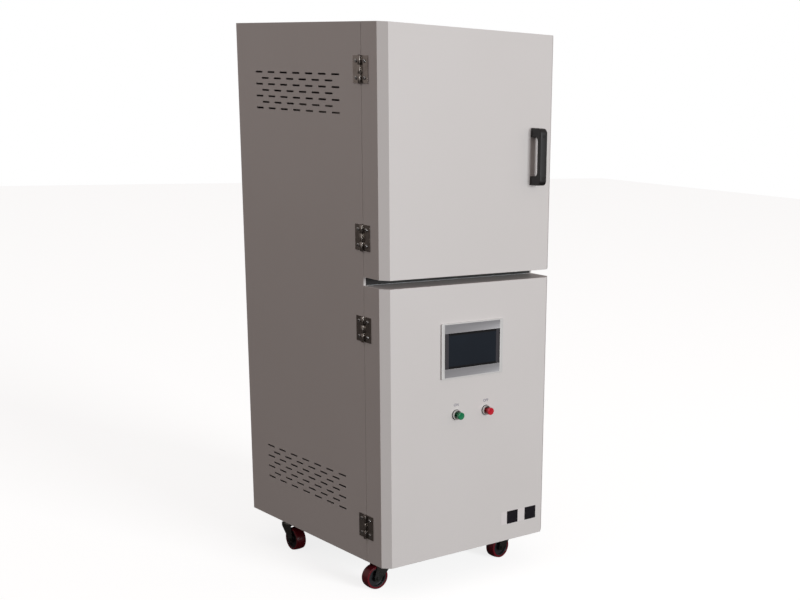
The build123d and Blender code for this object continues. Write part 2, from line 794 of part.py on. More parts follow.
def hinge_leaves(heights, door_side):
    """Hinge leaves flat on the left side, each with its knuckles round the pin."""
    direction = -1 if door_side else 1
    leaf_align = (Align.MAX, Align.MAX if door_side else Align.MIN)
    with BuildPart() as leaves:
        for middle in heights:
            with BuildSketch(Plane.XY.offset(middle - hinge_height / 2)):
                with Locations((-half_width, seam + direction * (knuckle_radius + knuckle_gap))):
                    Rectangle(
                        hinge_leaf_thickness, hinge_reach - knuckle_radius - knuckle_gap, align=leaf_align
                    )
            extrude(amount=hinge_height)
            for low, high in knuckle_spans(middle, door_side):
                with BuildSketch(Plane.XY.offset(low)):
                    with Locations((hinge_x, seam)):
                        Circle(knuckle_radius)
                    with Locations((hinge_x + knuckle_radius, seam)):
                        Rectangle(
                            hinge_leaf_thickness, knuckle_radius + 2 * knuckle_gap, align=leaf_align
                        )
                    with Locations((hinge_x, seam)):
                        Circle(pin_radius + pin_clearance, mode=Mode.SUBTRACT)
                extrude(amount=high - low)
    return leaves


hinge_cabinet_leaves = hinge_leaves([z for pair in hinge_heights.values() for z in pair], False)
hinge_cabinet_leaves.part.label = "hinge_cabinet_leaves"
export_step(hinge_cabinet_leaves.part, "parts/hinge_cabinet_leaves.step")

upper_door_hinge_leaves = hinge_leaves(hinge_heights["upper_door"], True)
upper_door_hinge_leaves.part.label = "upper_door_hinge_leaves"
export_step(upper_door_hinge_leaves.part, "parts/upper_door_hinge_leaves.step")

lower_door_hinge_leaves = hinge_leaves(hinge_heights["lower_door"], True)
lower_door_hinge_leaves.part.label = "lower_door_hinge_leaves"
export_step(lower_door_hinge_leaves.part, "parts/lower_door_hinge_leaves.step")

with BuildPart() as hinge_pins:
    for middle in [z for pair in hinge_heights.values() for z in pair]:
        with BuildSketch(Plane.XY.offset(middle - hinge_height / 2 - fit_gap)):
            with Locations((hinge_x, seam)):
                Circle(pin_radius)
        extrude(amount=hinge_height + 2 * fit_gap)
        for direction in (-1, 1):
            with BuildSketch(Plane.XY.offset(middle + direction * (hinge_height / 2 + fit_gap))):
                with Locations((hinge_x, seam)):
                    Circle(pin_head_radius)
            extrude(amount=direction * pin_head_thickness)
hinge_pins.part.label = "hinge_pins"
export_step(hinge_pins.part, "parts/hinge_pins.step")

# Magnetic catches beside the right lip of the cabinet, just behind each closed door
with BuildPart() as door_catches:
    for middle in (upper_door_bottom + upper_door_height / 2, bottom + lower_door_height / 2):
        with BuildSketch(front_facing(door_back + fit_gap)):
            with Locations((half_width - return_width - fit_gap, middle)):
                Rectangle(catch_width, catch_height, align=(Align.MAX, Align.CENTER))
        extrude(amount=door_back - front_plate_front + 2 * fit_gap)
    chamfer(door_catches.edges().filter_by(Axis.Y), 2)
door_catches.part.label = "door_catches"
export_step(door_catches.part, "parts/door_catches.step")


def door_skin(low, high, cutouts=None):
    """A folded door with chamfered front edges, cut-outs in its face and a lip round its open back."""
    with BuildPart() as skin:
        with BuildSketch(Plane.XY.offset(low)) as outline:
            with Locations((0, front)):
                Rectangle(cabinet_width, door_back - front, align=(Align.CENTER, Align.MIN))
            chamfer(outline.vertices().group_by(Axis.Y)[0], door_chamfer)
        extrude(amount=high - low)
        offset(amount=-sheet, openings=skin.faces().sort_by(Axis.Y)[-1])
        with BuildSketch(front_facing(door_back)):
            with Locations((0, (low + high) / 2)):
                Rectangle(cabinet_width, high - low)
                Rectangle(cabinet_width - 2 * door_lip, high - low - 2 * door_lip, mode=Mode.SUBTRACT)
        extrude(amount=sheet)
        if cutouts:
            extrude(cutouts, amount=-sheet, mode=Mode.SUBTRACT)
    return skin


# Upper door: skin, inner pan against its lip, tapered fibre plug and rope gasket
upper_door_skin = door_skin(upper_door_bottom, top)
upper_door_skin.part.label = "upper_door_skin"
export_step(upper_door_skin.part, "parts/upper_door_skin.step")

upper_door_middle = (upper_door_bottom + top) / 2
with BuildPart() as upper_door_pan:
    with BuildSketch(front_facing(door_back - sheet)):
        with Locations((0, upper_door_middle)):
            Rectangle(
                cabinet_width - 2 * (sheet + fit_gap), upper_door_height - 2 * (sheet + fit_gap)
            )
    extrude(amount=flange_height)
    offset(amount=-sheet, openings=upper_door_pan.faces().sort_by(Axis.Y)[0])
upper_door_pan.part.label = "upper_door_pan"
export_step(upper_door_pan.part, "parts/upper_door_pan.step")

with BuildPart() as door_plug:
    with BuildSketch(front_facing(door_back - sheet)):
        with Locations((0, chamber_middle)):
            Rectangle(chamber_width - 2 * plug_clearance, chamber_height - 2 * plug_clearance)
    extrude(amount=-(plug_depth + sheet), taper=plug_taper)
door_plug.part.label = "door_plug"
export_step(door_plug.part, "parts/door_plug.step")

with BuildPart() as door_gasket:
    with BuildSketch(front_facing(door_back - sheet)):
        with Locations((0, chamber_middle)):
            RectangleRounded(
                chamber_width + 2 * (gasket_outset + gasket_width),
                chamber_height + 2 * (gasket_outset + gasket_width),
                gasket_corner + gasket_width,
            )
            RectangleRounded(
                chamber_width + 2 * gasket_outset,
                chamber_height + 2 * gasket_outset,
                gasket_corner,
                mode=Mode.SUBTRACT,
            )
    extrude(amount=door_back - sheet - front_plate_front + fit_gap)
door_gasket.part.label = "door_gasket"
export_step(door_gasket.part, "parts/door_gasket.step")

# D handle on the upper door
handle_middle = upper_door_bottom + handle_above_bottom
handle_half = handle_width / 2
with BuildPart() as door_handle:
    with BuildSketch(side_facing(half_width - handle_from_edge - handle_half)) as handle_outline:
        with Locations((front, handle_middle)):
            Rectangle(handle_standoff, handle_length, align=(Align.MAX, Align.CENTER))
        fillet(handle_outline.vertices().group_by(Axis.X)[0], handle_corner)
        with BuildSketch(mode=Mode.PRIVATE) as finger_gap:
            with Locations((front, handle_middle)):
                Rectangle(
                    handle_standoff - handle_grip,
                    handle_length - 2 * handle_foot_height,
                    align=(Align.MAX, Align.CENTER),
                )
            fillet(finger_gap.vertices().group_by(Axis.X)[0], handle_inner_corner)
        add(finger_gap.sketch, mode=Mode.SUBTRACT)
    extrude(amount=handle_width)
    rim_edges = door_handle.edges().filter_by(Plane.YZ)
    chamfer(
        [edge for edge in rim_edges if edge.center().Y < front - handle_edge / 4],
        handle_edge,
    )
door_handle.part.label = "door_handle"
export_step(door_handle.part, "parts/door_handle.step")

# Lower door, with the cut-outs for the touch panel and the two push buttons
screen_z = bottom + lower_door_height - screen_drop
button_z = screen_z - button_drop
button_places = {"start_button": -button_spacing / 2, "stop_button": button_spacing / 2}
with BuildSketch(front_facing(front)) as face_cutouts:
    with Locations((0, screen_z)):
        Rectangle(housing_width + 2 * cutout_clearance, housing_height + 2 * cutout_clearance)
    with Locations((0, button_z)):
        with GridLocations(button_spacing, 0, 2, 1):
            Circle(button_neck_radius + fit_gap)
lower_door_skin = door_skin(bottom, bottom + lower_door_height, face_cutouts.sketch)
lower_door_skin.part.label = "lower_door_skin"
export_step(lower_door_skin.part, "parts/lower_door_skin.step")

# Touch panel: one moulding with a bezel on the door and a housing behind it, and the screen in its recess
bezel_front = front - screen_bezel_thickness
screen_floor = bezel_front + screen_recess + screen_thickness
with BuildPart() as hmi_bezel:
    with BuildSketch(front_facing(front)):
        with Locations((0, screen_z)):
            RectangleRounded(screen_bezel_width, screen_bezel_height, screen_bezel_corner)
    extrude(amount=screen_bezel_thickness)
    chamfer(hmi_bezel.edges().group_by(Axis.Y)[0], screen_bezel_chamfer)
    with BuildSketch(front_facing(front)):
        with Locations((0, screen_z)):
            Rectangle(housing_width, housing_height)
    extrude(amount=-housing_depth)
    chamfer(hmi_bezel.edges().group_by(Axis.Y)[-1], housing_chamfer)
    with BuildSketch(front_facing(bezel_front)):
        with Locations((0, screen_z)):
            Rectangle(screen_width, screen_height)
    extrude(amount=bezel_front - screen_floor, mode=Mode.SUBTRACT)
hmi_bezel.part.label = "hmi_bezel"
export_step(hmi_bezel.part, "parts/hmi_bezel.step")

with BuildPart() as hmi_screen:
    with BuildSketch(front_facing(screen_floor)):
        with Locations((0, screen_z)):
            Rectangle(screen_width - 2 * fit_gap, screen_height - 2 * fit_gap)
    extrude(amount=screen_thickness)
hmi_screen.part.label = "hmi_screen"
export_step(hmi_screen.part, "parts/hmi_screen.step")

# Push buttons: a bezel and neck through the door, a contact block behind it and the cap that travels
neck_back = front + sheet + button_neck_length
with BuildPart() as button_bezels:
    for x in button_places.values():
        with BuildSketch(front_facing(front)):
            with Locations((x, button_z)):
                Circle(button_collar_radius)
        extrude(amount=button_collar_height)
        with BuildSketch(front_facing(front - button_collar_height)):
            with Locations((x, button_z)):
                Circle(button_ring_radius)
        extrude(amount=button_ring_height - button_collar_height, taper=button_ring_taper)
        with BuildSketch(front_facing(neck_back)):
            with Locations((x, button_z)):
                Circle(button_neck_radius)
        extrude(amount=neck_back - front)
        with BuildSketch(front_facing(front - button_ring_height)):
            with Locations((x, button_z)):
                Circle(button_cap_radius + button_clearance)
        extrude(amount=button_floor - button_ring_height, mode=Mode.SUBTRACT)
        with BuildSketch(front_facing(front - button_floor)):
            with Locations((x, button_z)):
                Circle(button_stem_radius + button_clearance)
        extrude(amount=front - button_floor - neck_back, mode=Mode.SUBTRACT)
button_bezels.part.label = "button_bezels"
export_step(button_bezels.part, "parts/button_bezels.step")

with BuildPart() as button_contact_blocks:
    with BuildSketch(front_facing(neck_back + fit_gap)):
        with Locations((0, button_z)):
            with GridLocations(button_spacing, 0, 2, 1):
                RectangleRounded(contact_block_width, contact_block_height, 2)
    extrude(amount=-contact_block_depth)
    with BuildSketch(front_facing(neck_back + fit_gap + contact_block_depth)):
        with Locations((0, button_z)):
            with GridLocations(button_spacing, 0, 2, 1):
                with GridLocations(0, contact_block_height / 2, 1, 2):
                    Rectangle(contact_block_width / 2, contact_block_height / 4)
    extrude(amount=contact_block_depth / 8, mode=Mode.SUBTRACT)
button_contact_blocks.part.label = "button_contact_blocks"
export_step(button_contact_blocks.part, "parts/button_contact_blocks.step")


def button_cap(x):
    """A push-button cap with the stem that passes back through the neck."""
    cap_front = front - button_ring_height - button_cap_proud
    cap_back = front - button_floor - button_travel - fit_gap
    with BuildPart() as cap:
        with BuildSketch(front_facing(cap_back)):
            with Locations((x, button_z)):
                Circle(button_cap_radius)
        extrude(amount=cap_back - cap_front)
        chamfer(cap.edges().group_by(Axis.Y)[0], button_cap_edge)
        with BuildSketch(front_facing(cap_back)):
            with Locations((x, button_z)):
                Circle(button_stem_radius)
        extrude(amount=-(neck_back - button_travel - cap_back))
    return cap


start_button = button_cap(button_places["start_button"])
start_button.part.label = "start_button"
export_step(start_button.part, "parts/start_button.step")

stop_button = button_cap(button_places["stop_button"])
stop_button.part.label = "stop_button"
export_step(stop_button.part, "parts/stop_button.step")

# Castors. The plate, the upper half of its ball race and the king pin are fixed to the base pan. The fork
# turns on the king pin and carries the axle of the wheel, which trails behind.
fork_inner = wheel_width / 2 + wheel_side_gap
fork_outer = fork_inner + fork_thickness
plate_bottom = castor_height - castor_plate_thickness
race_middle = (fork_crown_height + plate_bottom) / 2
crown_bottom = fork_crown_height - fork_thickness
with BuildPart() as castor_plates:
    for x, y in castor_places.values():
        with BuildSketch(Plane.XY.offset(plate_bottom)):
            with Locations((x, y)):
                RectangleRounded(castor_plate_length, castor_plate_depth, castor_plate_corner)
        extrude(amount=castor_plate_thickness)
        with BuildSketch(Plane.XY.offset(plate_bottom)):
            with Locations((x, y)):
                Circle(race_radius)
        extrude(amount=race_middle + race_gap / 2 - plate_bottom, taper=race_taper)
        with BuildSketch(Plane.XY.offset(plate_bottom)):
            with Locations((x, y)):
                Circle(king_pin_radius)
        extrude(amount=crown_bottom - race_gap - plate_bottom)
        with BuildSketch(Plane.XY.offset(crown_bottom - race_gap)):
            with Locations((x, y)):
                Circle(king_pin_head_radius)
        extrude(amount=-king_pin_head_thickness)
castor_plates.part.label = "castor_plates"
export_step(castor_plates.part, "parts/castor_plates.step")


def castor_plane(corner):
    """A plane on the floor under a castor's king pin, with its x axis away from the trailing wheel."""
    x, y = castor_places[corner]
    heading = radians(castor_headings[corner])
    return Plane(origin=(x, y, 0), x_dir=(cos(heading), sin(heading), 0), z_dir=(0, 0, 1))


def upright(castor, across):
    """A sketch plane in the plane of the wheel, moved sideways: its origin is on the floor."""
    return Plane(
        origin=castor.from_local_coords((0, across, 0)), x_dir=castor.x_dir, z_dir=-castor.y_dir
    )


def castor_fork(castor):
    """The fork with its lower race, and the axle bolt as a solid of its own."""
    with BuildPart() as fork:
        for across in (-fork_inner, fork_outer):
            with BuildSketch(upright(castor, across)):
                with BuildSketch(Plane.XY, mode=Mode.PRIVATE) as leg:
                    with Locations((-castor_trail, wheel_radius)):
                        Circle(fork_foot_radius)
                    with Locations((0, fork_crown_height)):
                        Rectangle(fork_crown_length, fork_shoulder, align=(Align.CENTER, Align.MAX))
                    make_hull()
                add(leg.sketch)
                with Locations((-castor_trail, wheel_radius)):
                    Circle(axle_radius + axle_clearance, mode=Mode.SUBTRACT)
            extrude(amount=fork_thickness)
        with BuildSketch(castor.offset(crown_bottom)):
            Rectangle(fork_crown_length, 2 * fork_outer)
        extrude(amount=fork_thickness)
        with BuildSketch(castor.offset(fork_crown_height)):
            Circle(race_radius)
        extrude(amount=race_middle - race_gap / 2 - fork_crown_height, taper=race_taper)
        with BuildSketch(castor.offset(crown_bottom)):
            Circle(king_pin_radius + axle_clearance)
        extrude(amount=race_middle - crown_bottom, mode=Mode.SUBTRACT)
        with BuildSketch(upright(castor, fork_outer + axle_head_gap)):
            with Locations((-castor_trail, wheel_radius)):
                Circle(axle_radius)
        extrude(amount=2 * (fork_outer + axle_head_gap))
        for across in (-fork_outer - axle_head_gap, fork_outer + axle_head_gap + axle_head_thickness):
            with BuildSketch(upright(castor, across)):
                with Locations((-castor_trail, wheel_radius)):
                    RegularPolygon(axle_head_radius, 6)
            extrude(amount=axle_head_thickness)
    return fork


def castor_wheel(castor):
    """The hub, web and rim of a wheel, turned about its axle."""
    axle = Axis(castor.from_local_coords((-castor_trail, 0, wheel_radius)), castor.y_dir)
    with BuildPart() as wheel:
        with BuildSketch(axle_section(castor)):
            for high, half in (
                (rim_radius, rim_half_width),
                (hub_radius, wheel_width / 2 + hub_proud),
            ):
                Rectangle(2 * half, high, align=(Align.CENTER, Align.MIN))
            for side in (-1, 1):
                with Locations((side * wheel_web / 2, hub_radius)):
                    Rectangle(
                        rim_half_width,
                        rim_radius - rim_thickness - hub_radius,
                        align=(wall_side(-side), Align.MIN),
                        mode=Mode.SUBTRACT,
                    )
            Rectangle(
                2 * fork_inner,
                axle_radius + axle_clearance,
                align=(Align.CENTER, Align.MIN),
                mode=Mode.SUBTRACT,
            )
        revolve(axis=axle)
    return wheel


def castor_tread(castor):
    """The tyre of a wheel, with a crowned face and rounded shoulders."""
    axle = Axis(castor.from_local_coords((-castor_trail, 0, wheel_radius)), castor.y_dir)
    shoulder = wheel_radius - tread_crown
    with BuildPart() as tread:
        with BuildSketch(axle_section(castor)):
            with BuildLine():
                ThreePointArc((-wheel_width / 2, shoulder), (0, wheel_radius), (wheel_width / 2, shoulder))
                Polyline(
                    (wheel_width / 2, shoulder),
                    (wheel_width / 2, rim_radius + axle_clearance),
                    (-wheel_width / 2, rim_radius + axle_clearance),
                    (-wheel_width / 2, shoulder),
                )
            make_face()
        revolve(axis=axle)
    return tread


def axle_section(castor):
    """A sketch plane through the axle: its x is along the axle and its y is up from it."""
    return Plane(
        origin=castor.from_local_coords((-castor_trail, 0, wheel_radius)),
        x_dir=castor.y_dir,
        z_dir=castor.x_dir,
    )


for corner in castor_places:
    where = castor_plane(corner)
    for suffix, piece in (
        ("fork", castor_fork(where)),
        ("wheel", castor_wheel(where)),
        ("tread", castor_tread(where)),
    ):
        piece.part.label = f"{corner}_{suffix}"
        export_step(piece.part, f"parts/{corner}_{suffix}.step")
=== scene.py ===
"""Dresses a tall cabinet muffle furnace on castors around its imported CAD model, and lights it."""

import json
import logging
import math
from collections.abc import Callable, Iterator, Sequence
from contextlib import contextmanager
from dataclasses import dataclass
from enum import Enum
from typing import Any

import bmesh
import bpy
from mathutils import Matrix, Vector


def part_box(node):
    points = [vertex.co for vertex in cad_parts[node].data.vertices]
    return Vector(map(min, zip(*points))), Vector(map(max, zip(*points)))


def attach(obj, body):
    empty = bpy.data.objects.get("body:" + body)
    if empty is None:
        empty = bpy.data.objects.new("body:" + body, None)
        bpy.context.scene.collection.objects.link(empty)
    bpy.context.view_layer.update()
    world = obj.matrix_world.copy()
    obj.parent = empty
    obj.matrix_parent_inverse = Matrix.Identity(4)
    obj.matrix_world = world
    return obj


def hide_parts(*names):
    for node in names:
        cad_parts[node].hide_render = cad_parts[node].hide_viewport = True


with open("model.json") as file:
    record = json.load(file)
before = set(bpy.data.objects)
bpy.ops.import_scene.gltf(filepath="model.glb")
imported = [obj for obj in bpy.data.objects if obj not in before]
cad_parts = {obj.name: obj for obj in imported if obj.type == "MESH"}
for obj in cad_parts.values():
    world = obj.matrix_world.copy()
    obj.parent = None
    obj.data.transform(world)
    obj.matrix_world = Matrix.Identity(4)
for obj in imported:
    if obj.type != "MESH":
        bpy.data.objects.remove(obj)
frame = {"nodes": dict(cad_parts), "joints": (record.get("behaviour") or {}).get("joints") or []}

log = logging.getLogger("furnace")
MM = 0.001
Piece = bpy.types.Object
Point = tuple[float, float, float]


class Kind(Enum):
    """The kinds of mesh element that edit mode selects."""

    VERTEX = "VERT"
    EDGE = "EDGE"
    FACE = "FACE"


class Door(Enum):
    """The two doors, by the name of the body that each one is."""

    UPPER = "upper_door"
    LOWER = "lower_door"


class Side(Enum):
    """The two sides of the cabinet, by the sign of their x."""

    LEFT = -1
    RIGHT = 1


X, Y, Z = Vector((1, 0, 0)), Vector((0, 1, 0)), Vector((0, 0, 1))
# Two places this near, in metres, are the same place
NEAR = 1e-5
# Sockets of the Mix and Map Range nodes, which share one name between several types
MIX_SHARE, MIX_FIRST, MIX_SECOND, MIXED_COLOUR = 0, 6, 7, 2
RANGE_INPUT, RANGE_LOW, RANGE_HIGH = 0, 3, 4
# Wavelength of a wave texture along an axis at a scale of 1
WAVE_LENGTH = 0.31416


# Colours and nodes


def linear(code: str) -> tuple[float, float, float, float]:
    """Turns an sRGB hex colour into the linear colour that a shader takes.

    Args:
        code: The colour as #rrggbb.

    Returns:
        Red, green, blue and an alpha of 1.
    """
    channels = [int(code[i : i + 2], 16) / 255 for i in (1, 3, 5)]
    low = [c / 12.92 if c <= 0.04045 else ((c + 0.055) / 1.055) ** 2.4 for c in channels]
    return (low[0], low[1], low[2], 1.0)


def add_node(
    tree: bpy.types.NodeTree, kind: str, settings: dict[Any, Any], links: dict[Any, Any] | None = None
) -> bpy.types.Node:
    """Adds a node with its settings and links.

    Args:
        tree: The node tree that takes the node.
        kind: The node's type.
        settings: Values by socket name or number, or by the name of a property of the node.
        links: Source sockets by the name or number of the input that each one feeds.

    Returns:
        The new node.
    """
    node = tree.nodes.new(kind)
    for key, value in settings.items():
        if isinstance(key, int) or key in node.inputs:
            node.inputs[key].default_value = value
        else:
            setattr(node, key, value)
    for key, source in (links or {}).items():
        tree.links.new(source, node.inputs[key])
    return node


# Finishes


@dataclass(frozen=True)
class Finish:
    """A surface of one real material, from a colour, a gloss and a fine bump.

    The base class draws a moulded or painted surface: two near shades in soft clouds, gloss that varies with
    them, and a grain in the bump.
    """

    name: str
    colour: str
    second: str
    roughness: float
    metallic: float = 0.0
    ior: float = 1.5
    cloud_mm: float = 180.0
    grain_mm: float = 4.0
    grain_depth_mm: float = 0.02
    roughness_spread: float = 0.05
    stretch: Point = (1.0, 1.0, 1.0)
    coat: float = 0.0
    coat_roughness: float = 0.08

    def material(self) -> bpy.types.Material:
        """Makes the material once, and gives it again when it is asked for again.

        Returns:
            The material.
        """
        found = bpy.data.materials.get(self.name)
        if found:
            return found
        made = bpy.data.materials.new(self.name)
        made.use_nodes = True
        tree = made.node_tree
        tree.nodes.clear()
        place = add_node(tree, "ShaderNodeTexCoord", {})
        shader = add_node(
            tree,
            "ShaderNodeBsdfPrincipled",
            {
                "Metallic": self.metallic, "IOR": self.ior, "Coat Weight": self.coat,
                "Coat Roughness": self.coat_roughness,
            },
        )
        add_node(tree, "ShaderNodeOutputMaterial", {}, {"Surface": shader.outputs["BSDF"]})
        self.dress(tree, place.outputs["Object"], shader)
        return made

    def dress(self, tree: bpy.types.NodeTree, place: Any, shader: bpy.types.Node) -> None:
        """Feeds the shader's colour, roughness and normal.

        Args:
            tree: The material's node tree.
            place: The socket that gives the point on the piece, in metres.
            shader: The shader that takes the pattern.
        """
        along = add_node(tree, "ShaderNodeMapping", {"Scale": self.stretch}, {"Vector": place})
        clouds = add_node(
            tree,
            "ShaderNodeTexNoise",
            {"Scale": 1 / (self.cloud_mm * MM), "Detail": 3.0, "Roughness": 0.5},
            {"Vector": along.outputs["Vector"]},
        )
        grain = add_node(
            tree,
            "ShaderNodeTexNoise",
            {"Scale": 1 / (self.grain_mm * MM), "Detail": 2.0},
            {"Vector": along.outputs["Vector"]},
        )
        self.shade(tree, shader, clouds.outputs["Fac"], self.colour, self.second)
        self.gloss(tree, shader, grain.outputs["Fac"])
        self.bump(tree, shader, grain.outputs["Fac"], self.grain_depth_mm)

    def shade(
        self, tree: bpy.types.NodeTree, shader: bpy.types.Node, share: Any, first: str, second: str
    ) -> None:
        """Mixes two shades by a pattern into the base colour.

        Args:
            tree: The material's node tree.
            shader: The shader that takes the colour.
            share: The socket of the pattern, 0 for the first shade and 1 for the second.
            first: One shade, as an sRGB hex value.
            second: The other shade.
        """
        mix = add_node(
            tree,
            "ShaderNodeMix",
            {"data_type": "RGBA", MIX_FIRST: linear(first), MIX_SECOND: linear(second)},
            {MIX_SHARE: share},
        )
        tree.links.new(mix.outputs[MIXED_COLOUR], shader.inputs["Base Color"])

    def gloss(self, tree: bpy.types.NodeTree, shader: bpy.types.Node, share: Any) -> None:
        """Lets the roughness vary a little with a pattern."""
        spread = add_node(
            tree,
            "ShaderNodeMapRange",
            {
                RANGE_LOW: self.roughness - self.roughness_spread,
                RANGE_HIGH: self.roughness + self.roughness_spread,
            },
            {RANGE_INPUT: share},
        )
        tree.links.new(spread.outputs[0], shader.inputs["Roughness"])

    def bump(self, tree: bpy.types.NodeTree, shader: bpy.types.Node, height: Any, depth_mm: float) -> None:
        """Raises the surface by a pattern, to a depth in millimetres."""
        relief = add_node(
            tree, "ShaderNodeBump", {"Strength": 1.0, "Distance": depth_mm * MM}, {"Height": height}
        )
        tree.links.new(relief.outputs["Normal"], shader.inputs["Normal"])


@dataclass(frozen=True)
class Braided(Finish):
    """Braided ceramic rope: strands that cross in a diamond pattern."""

    strand_mm: float = 5.0
    # Gives each light band about the width of a strand
    diagonal_scale: float = 0.2

    def dress(self, tree: bpy.types.NodeTree, place: Any, shader: bpy.types.Node) -> None:
        """Draws the strands as two crossing waves, with painted shade between them.

        Args:
            tree: The material's node tree.
            place: The socket that gives the point on the piece, in metres.
            shader: The shader that takes the pattern.
        """
        waves = [
            add_node(
                tree,
                "ShaderNodeTexWave",
                {
                    "bands_direction": "DIAGONAL",
                    "Scale": self.diagonal_scale / (self.strand_mm * MM),
                    "Distortion": 0.4,
                },
                {
                    "Vector": add_node(
                        tree, "ShaderNodeMapping", {"Scale": (turn, 1.0, 1.0)}, {"Vector": place}
                    ).outputs["Vector"]
                },
            )
            for turn in (-1.0, 1.0)
        ]
        weave = add_node(
            tree,
            "ShaderNodeMath",
            {"operation": "MAXIMUM"},
            {0: waves[0].outputs["Fac"], 1: waves[1].outputs["Fac"]},
        )
        # The second, darker shade, between the strands, is painted shade
        self.shade(tree, shader, weave.outputs[0], self.second, self.colour)
        self.gloss(tree, shader, weave.outputs[0])
        self.bump(tree, shader, weave.outputs[0], self.grain_depth_mm)


@dataclass(frozen=True)
class Spangled(Finish):
    """Hot-dip galvanised steel: zinc crystals that catch the light one by one."""

    spangle_mm: float = 14.0

    def dress(self, tree: bpy.types.NodeTree, place: Any, shader: bpy.types.Node) -> None:
        """Draws the crystals as cells, each with its own shade and gloss.

        Args:
            tree: The material's node tree.
            place: The socket that gives the point on the piece, in metres.
            shader: The shader that takes the pattern.
        """
        cells = add_node(
            tree,
            "ShaderNodeTexVoronoi",
            {"Scale": 1 / (self.spangle_mm * MM), "Randomness": 1.0},
            {"Vector": place},
        )
        lightness = add_node(tree, "ShaderNodeSeparateColor", {}, {"Color": cells.outputs["Color"]})
        self.shade(tree, shader, lightness.outputs[0], self.colour, self.second)
        self.gloss(tree, shader, lightness.outputs[1])
        self.bump(tree, shader, cells.outputs["Distance"], self.grain_depth_mm)


@dataclass(frozen=True)
class Banded(Finish):
    """Layers seen edge on, such as the turns of a winding or the sheets of a core."""

    layer_mm: float = 3.0
    direction: str = "Z"

    def dress(self, tree: bpy.types.NodeTree, place: Any, shader: bpy.types.Node) -> None:
        """Draws the layers as straight bands with a groove between each two.

        Args:
            tree: The material's node tree.
            place: The socket that gives the point on the piece, in metres.
            shader: The shader that takes the pattern.
        """
        bands = add_node(
            tree,
            "ShaderNodeTexWave",
            {
                "bands_direction": self.direction,
                "Scale": WAVE_LENGTH / (self.layer_mm * MM),
                "Distortion": 0.15,
            },
            {"Vector": place},
        )
        self.shade(tree, shader, bands.outputs["Fac"], self.second, self.colour)
        self.gloss(tree, shader, bands.outputs["Fac"])
        self.bump(tree, shader, bands.outputs["Fac"], self.grain_depth_mm)


# Powder coat on sheet steel: a warm light grey with a fine orange peel, drawn as coarse as it needs to show
POWDER_COAT = Finish(
    "powder_coated_steel_light_grey", "#d3cfce", "#cfcbc9", 0.4, cloud_mm=320, grain_mm=3,
    grain_depth_mm=0.012,
)
# Folded zinc-coated sheet inside the cabinet, with crystals that catch the light
GALVANISED = Spangled("galvanised_steel", "#9a9d9f", "#b4b7b9", 0.42, metallic=1.0, grain_depth_mm=0.02)
# Rolled stainless sheet with its grain along the sheet
STAINLESS_SHEET = Finish(
    "rolled_stainless_steel_sheet", "#a9a6a1", "#b9b6b1", 0.34, metallic=1.0, cloud_mm=90, grain_mm=1.2,
    grain_depth_mm=0.01, roughness_spread=0.07, stretch=(0.08, 1.0, 1.0),
)
# Polished and stamped stainless of the hinges, with soft handling marks
STAINLESS_HINGE = Finish(
    "stamped_stainless_steel", "#a8a29d", "#7d7771", 0.24, metallic=1.0, cloud_mm=18, grain_mm=2,
    grain_depth_mm=0.02, roughness_spread=0.08,
)
# Heat-tinted stainless of the flue
STAINLESS_FLUE = Finish(
    "heat_tinted_stainless_steel", "#b3a894", "#8f7f6a", 0.33, metallic=1.0, cloud_mm=45, grain_mm=1.5,
    grain_depth_mm=0.01, stretch=(1.0, 0.1, 1.0),
)
# Zinc-plated pressed steel of the castors, its grey darkened with painted shade from under the cabinet, with
# a faint cool and yellow play
ZINC_PLATED_SHADED = Finish(
    "zinc_plated_steel_painted_shade", "#6d6f71", "#58584f", 0.3, metallic=1.0, cloud_mm=14, grain_mm=1.5,
    grain_depth_mm=0.015, roughness_spread=0.1,
)
# Zinc-plated screws, bright and a little blue
BRIGHT_SCREW = Finish(
    "bright_zinc_screw", "#c9cbcd", "#b5b7b8", 0.24, metallic=1.0, cloud_mm=5, grain_mm=1,
    grain_depth_mm=0.01,
)
# Painted shade in the socket of a screw head; the handle's screws take this dark finish all over
SCREW_SOCKET_SHADE = Finish("screw_socket_painted_shade", "#1d1c1b", "#242322", 0.6, metallic=0.3, cloud_mm=4)
# Glass-filled nylon, moulded with a fine leather-like texture
BLACK_NYLON = Finish(
    "glass_filled_nylon_black", "#080607", "#0d0a0b", 0.5, ior=1.53, cloud_mm=40, grain_mm=1.6,
    grain_depth_mm=0.05, roughness_spread=0.08,
)
# Moulded rubber, dull and nearly black
BLACK_RUBBER = Finish(
    "moulded_rubber_black", "#1a1919", "#211f1f", 0.7, ior=1.52, cloud_mm=30, grain_mm=1.2,
    grain_depth_mm=0.03,
)
# Polyamide housings of the electrical devices, half matt, in a light and a dark grey
DEVICE_GREY = Finish(
    "moulded_polyamide_light_grey", "#c9cac6", "#c2c3be", 0.5, cloud_mm=60, grain_mm=1.4, grain_depth_mm=0.02
)
DEVICE_DARK = Finish(
    "moulded_polyamide_charcoal", "#34363a", "#3b3d41", 0.5, cloud_mm=60, grain_mm=1.4, grain_depth_mm=0.02
)
# Painted ABS of the touch panel's bezel, a smooth silver
SILVER_ABS = Finish(
    "silver_painted_abs", "#d6d5d4", "#cfcecd", 0.35, metallic=0.15, cloud_mm=70, grain_mm=0.9,
    grain_depth_mm=0.006,
)
# Its brushed bands above and below the screen, with the grain along them
BRUSHED_BAND = Finish(
    "brushed_aluminium_foil", "#98979a", "#8a898c", 0.4, metallic=0.2, cloud_mm=6, grain_mm=0.8,
    grain_depth_mm=0.02, roughness_spread=0.08, stretch=(0.04, 1.0, 1.0),
)
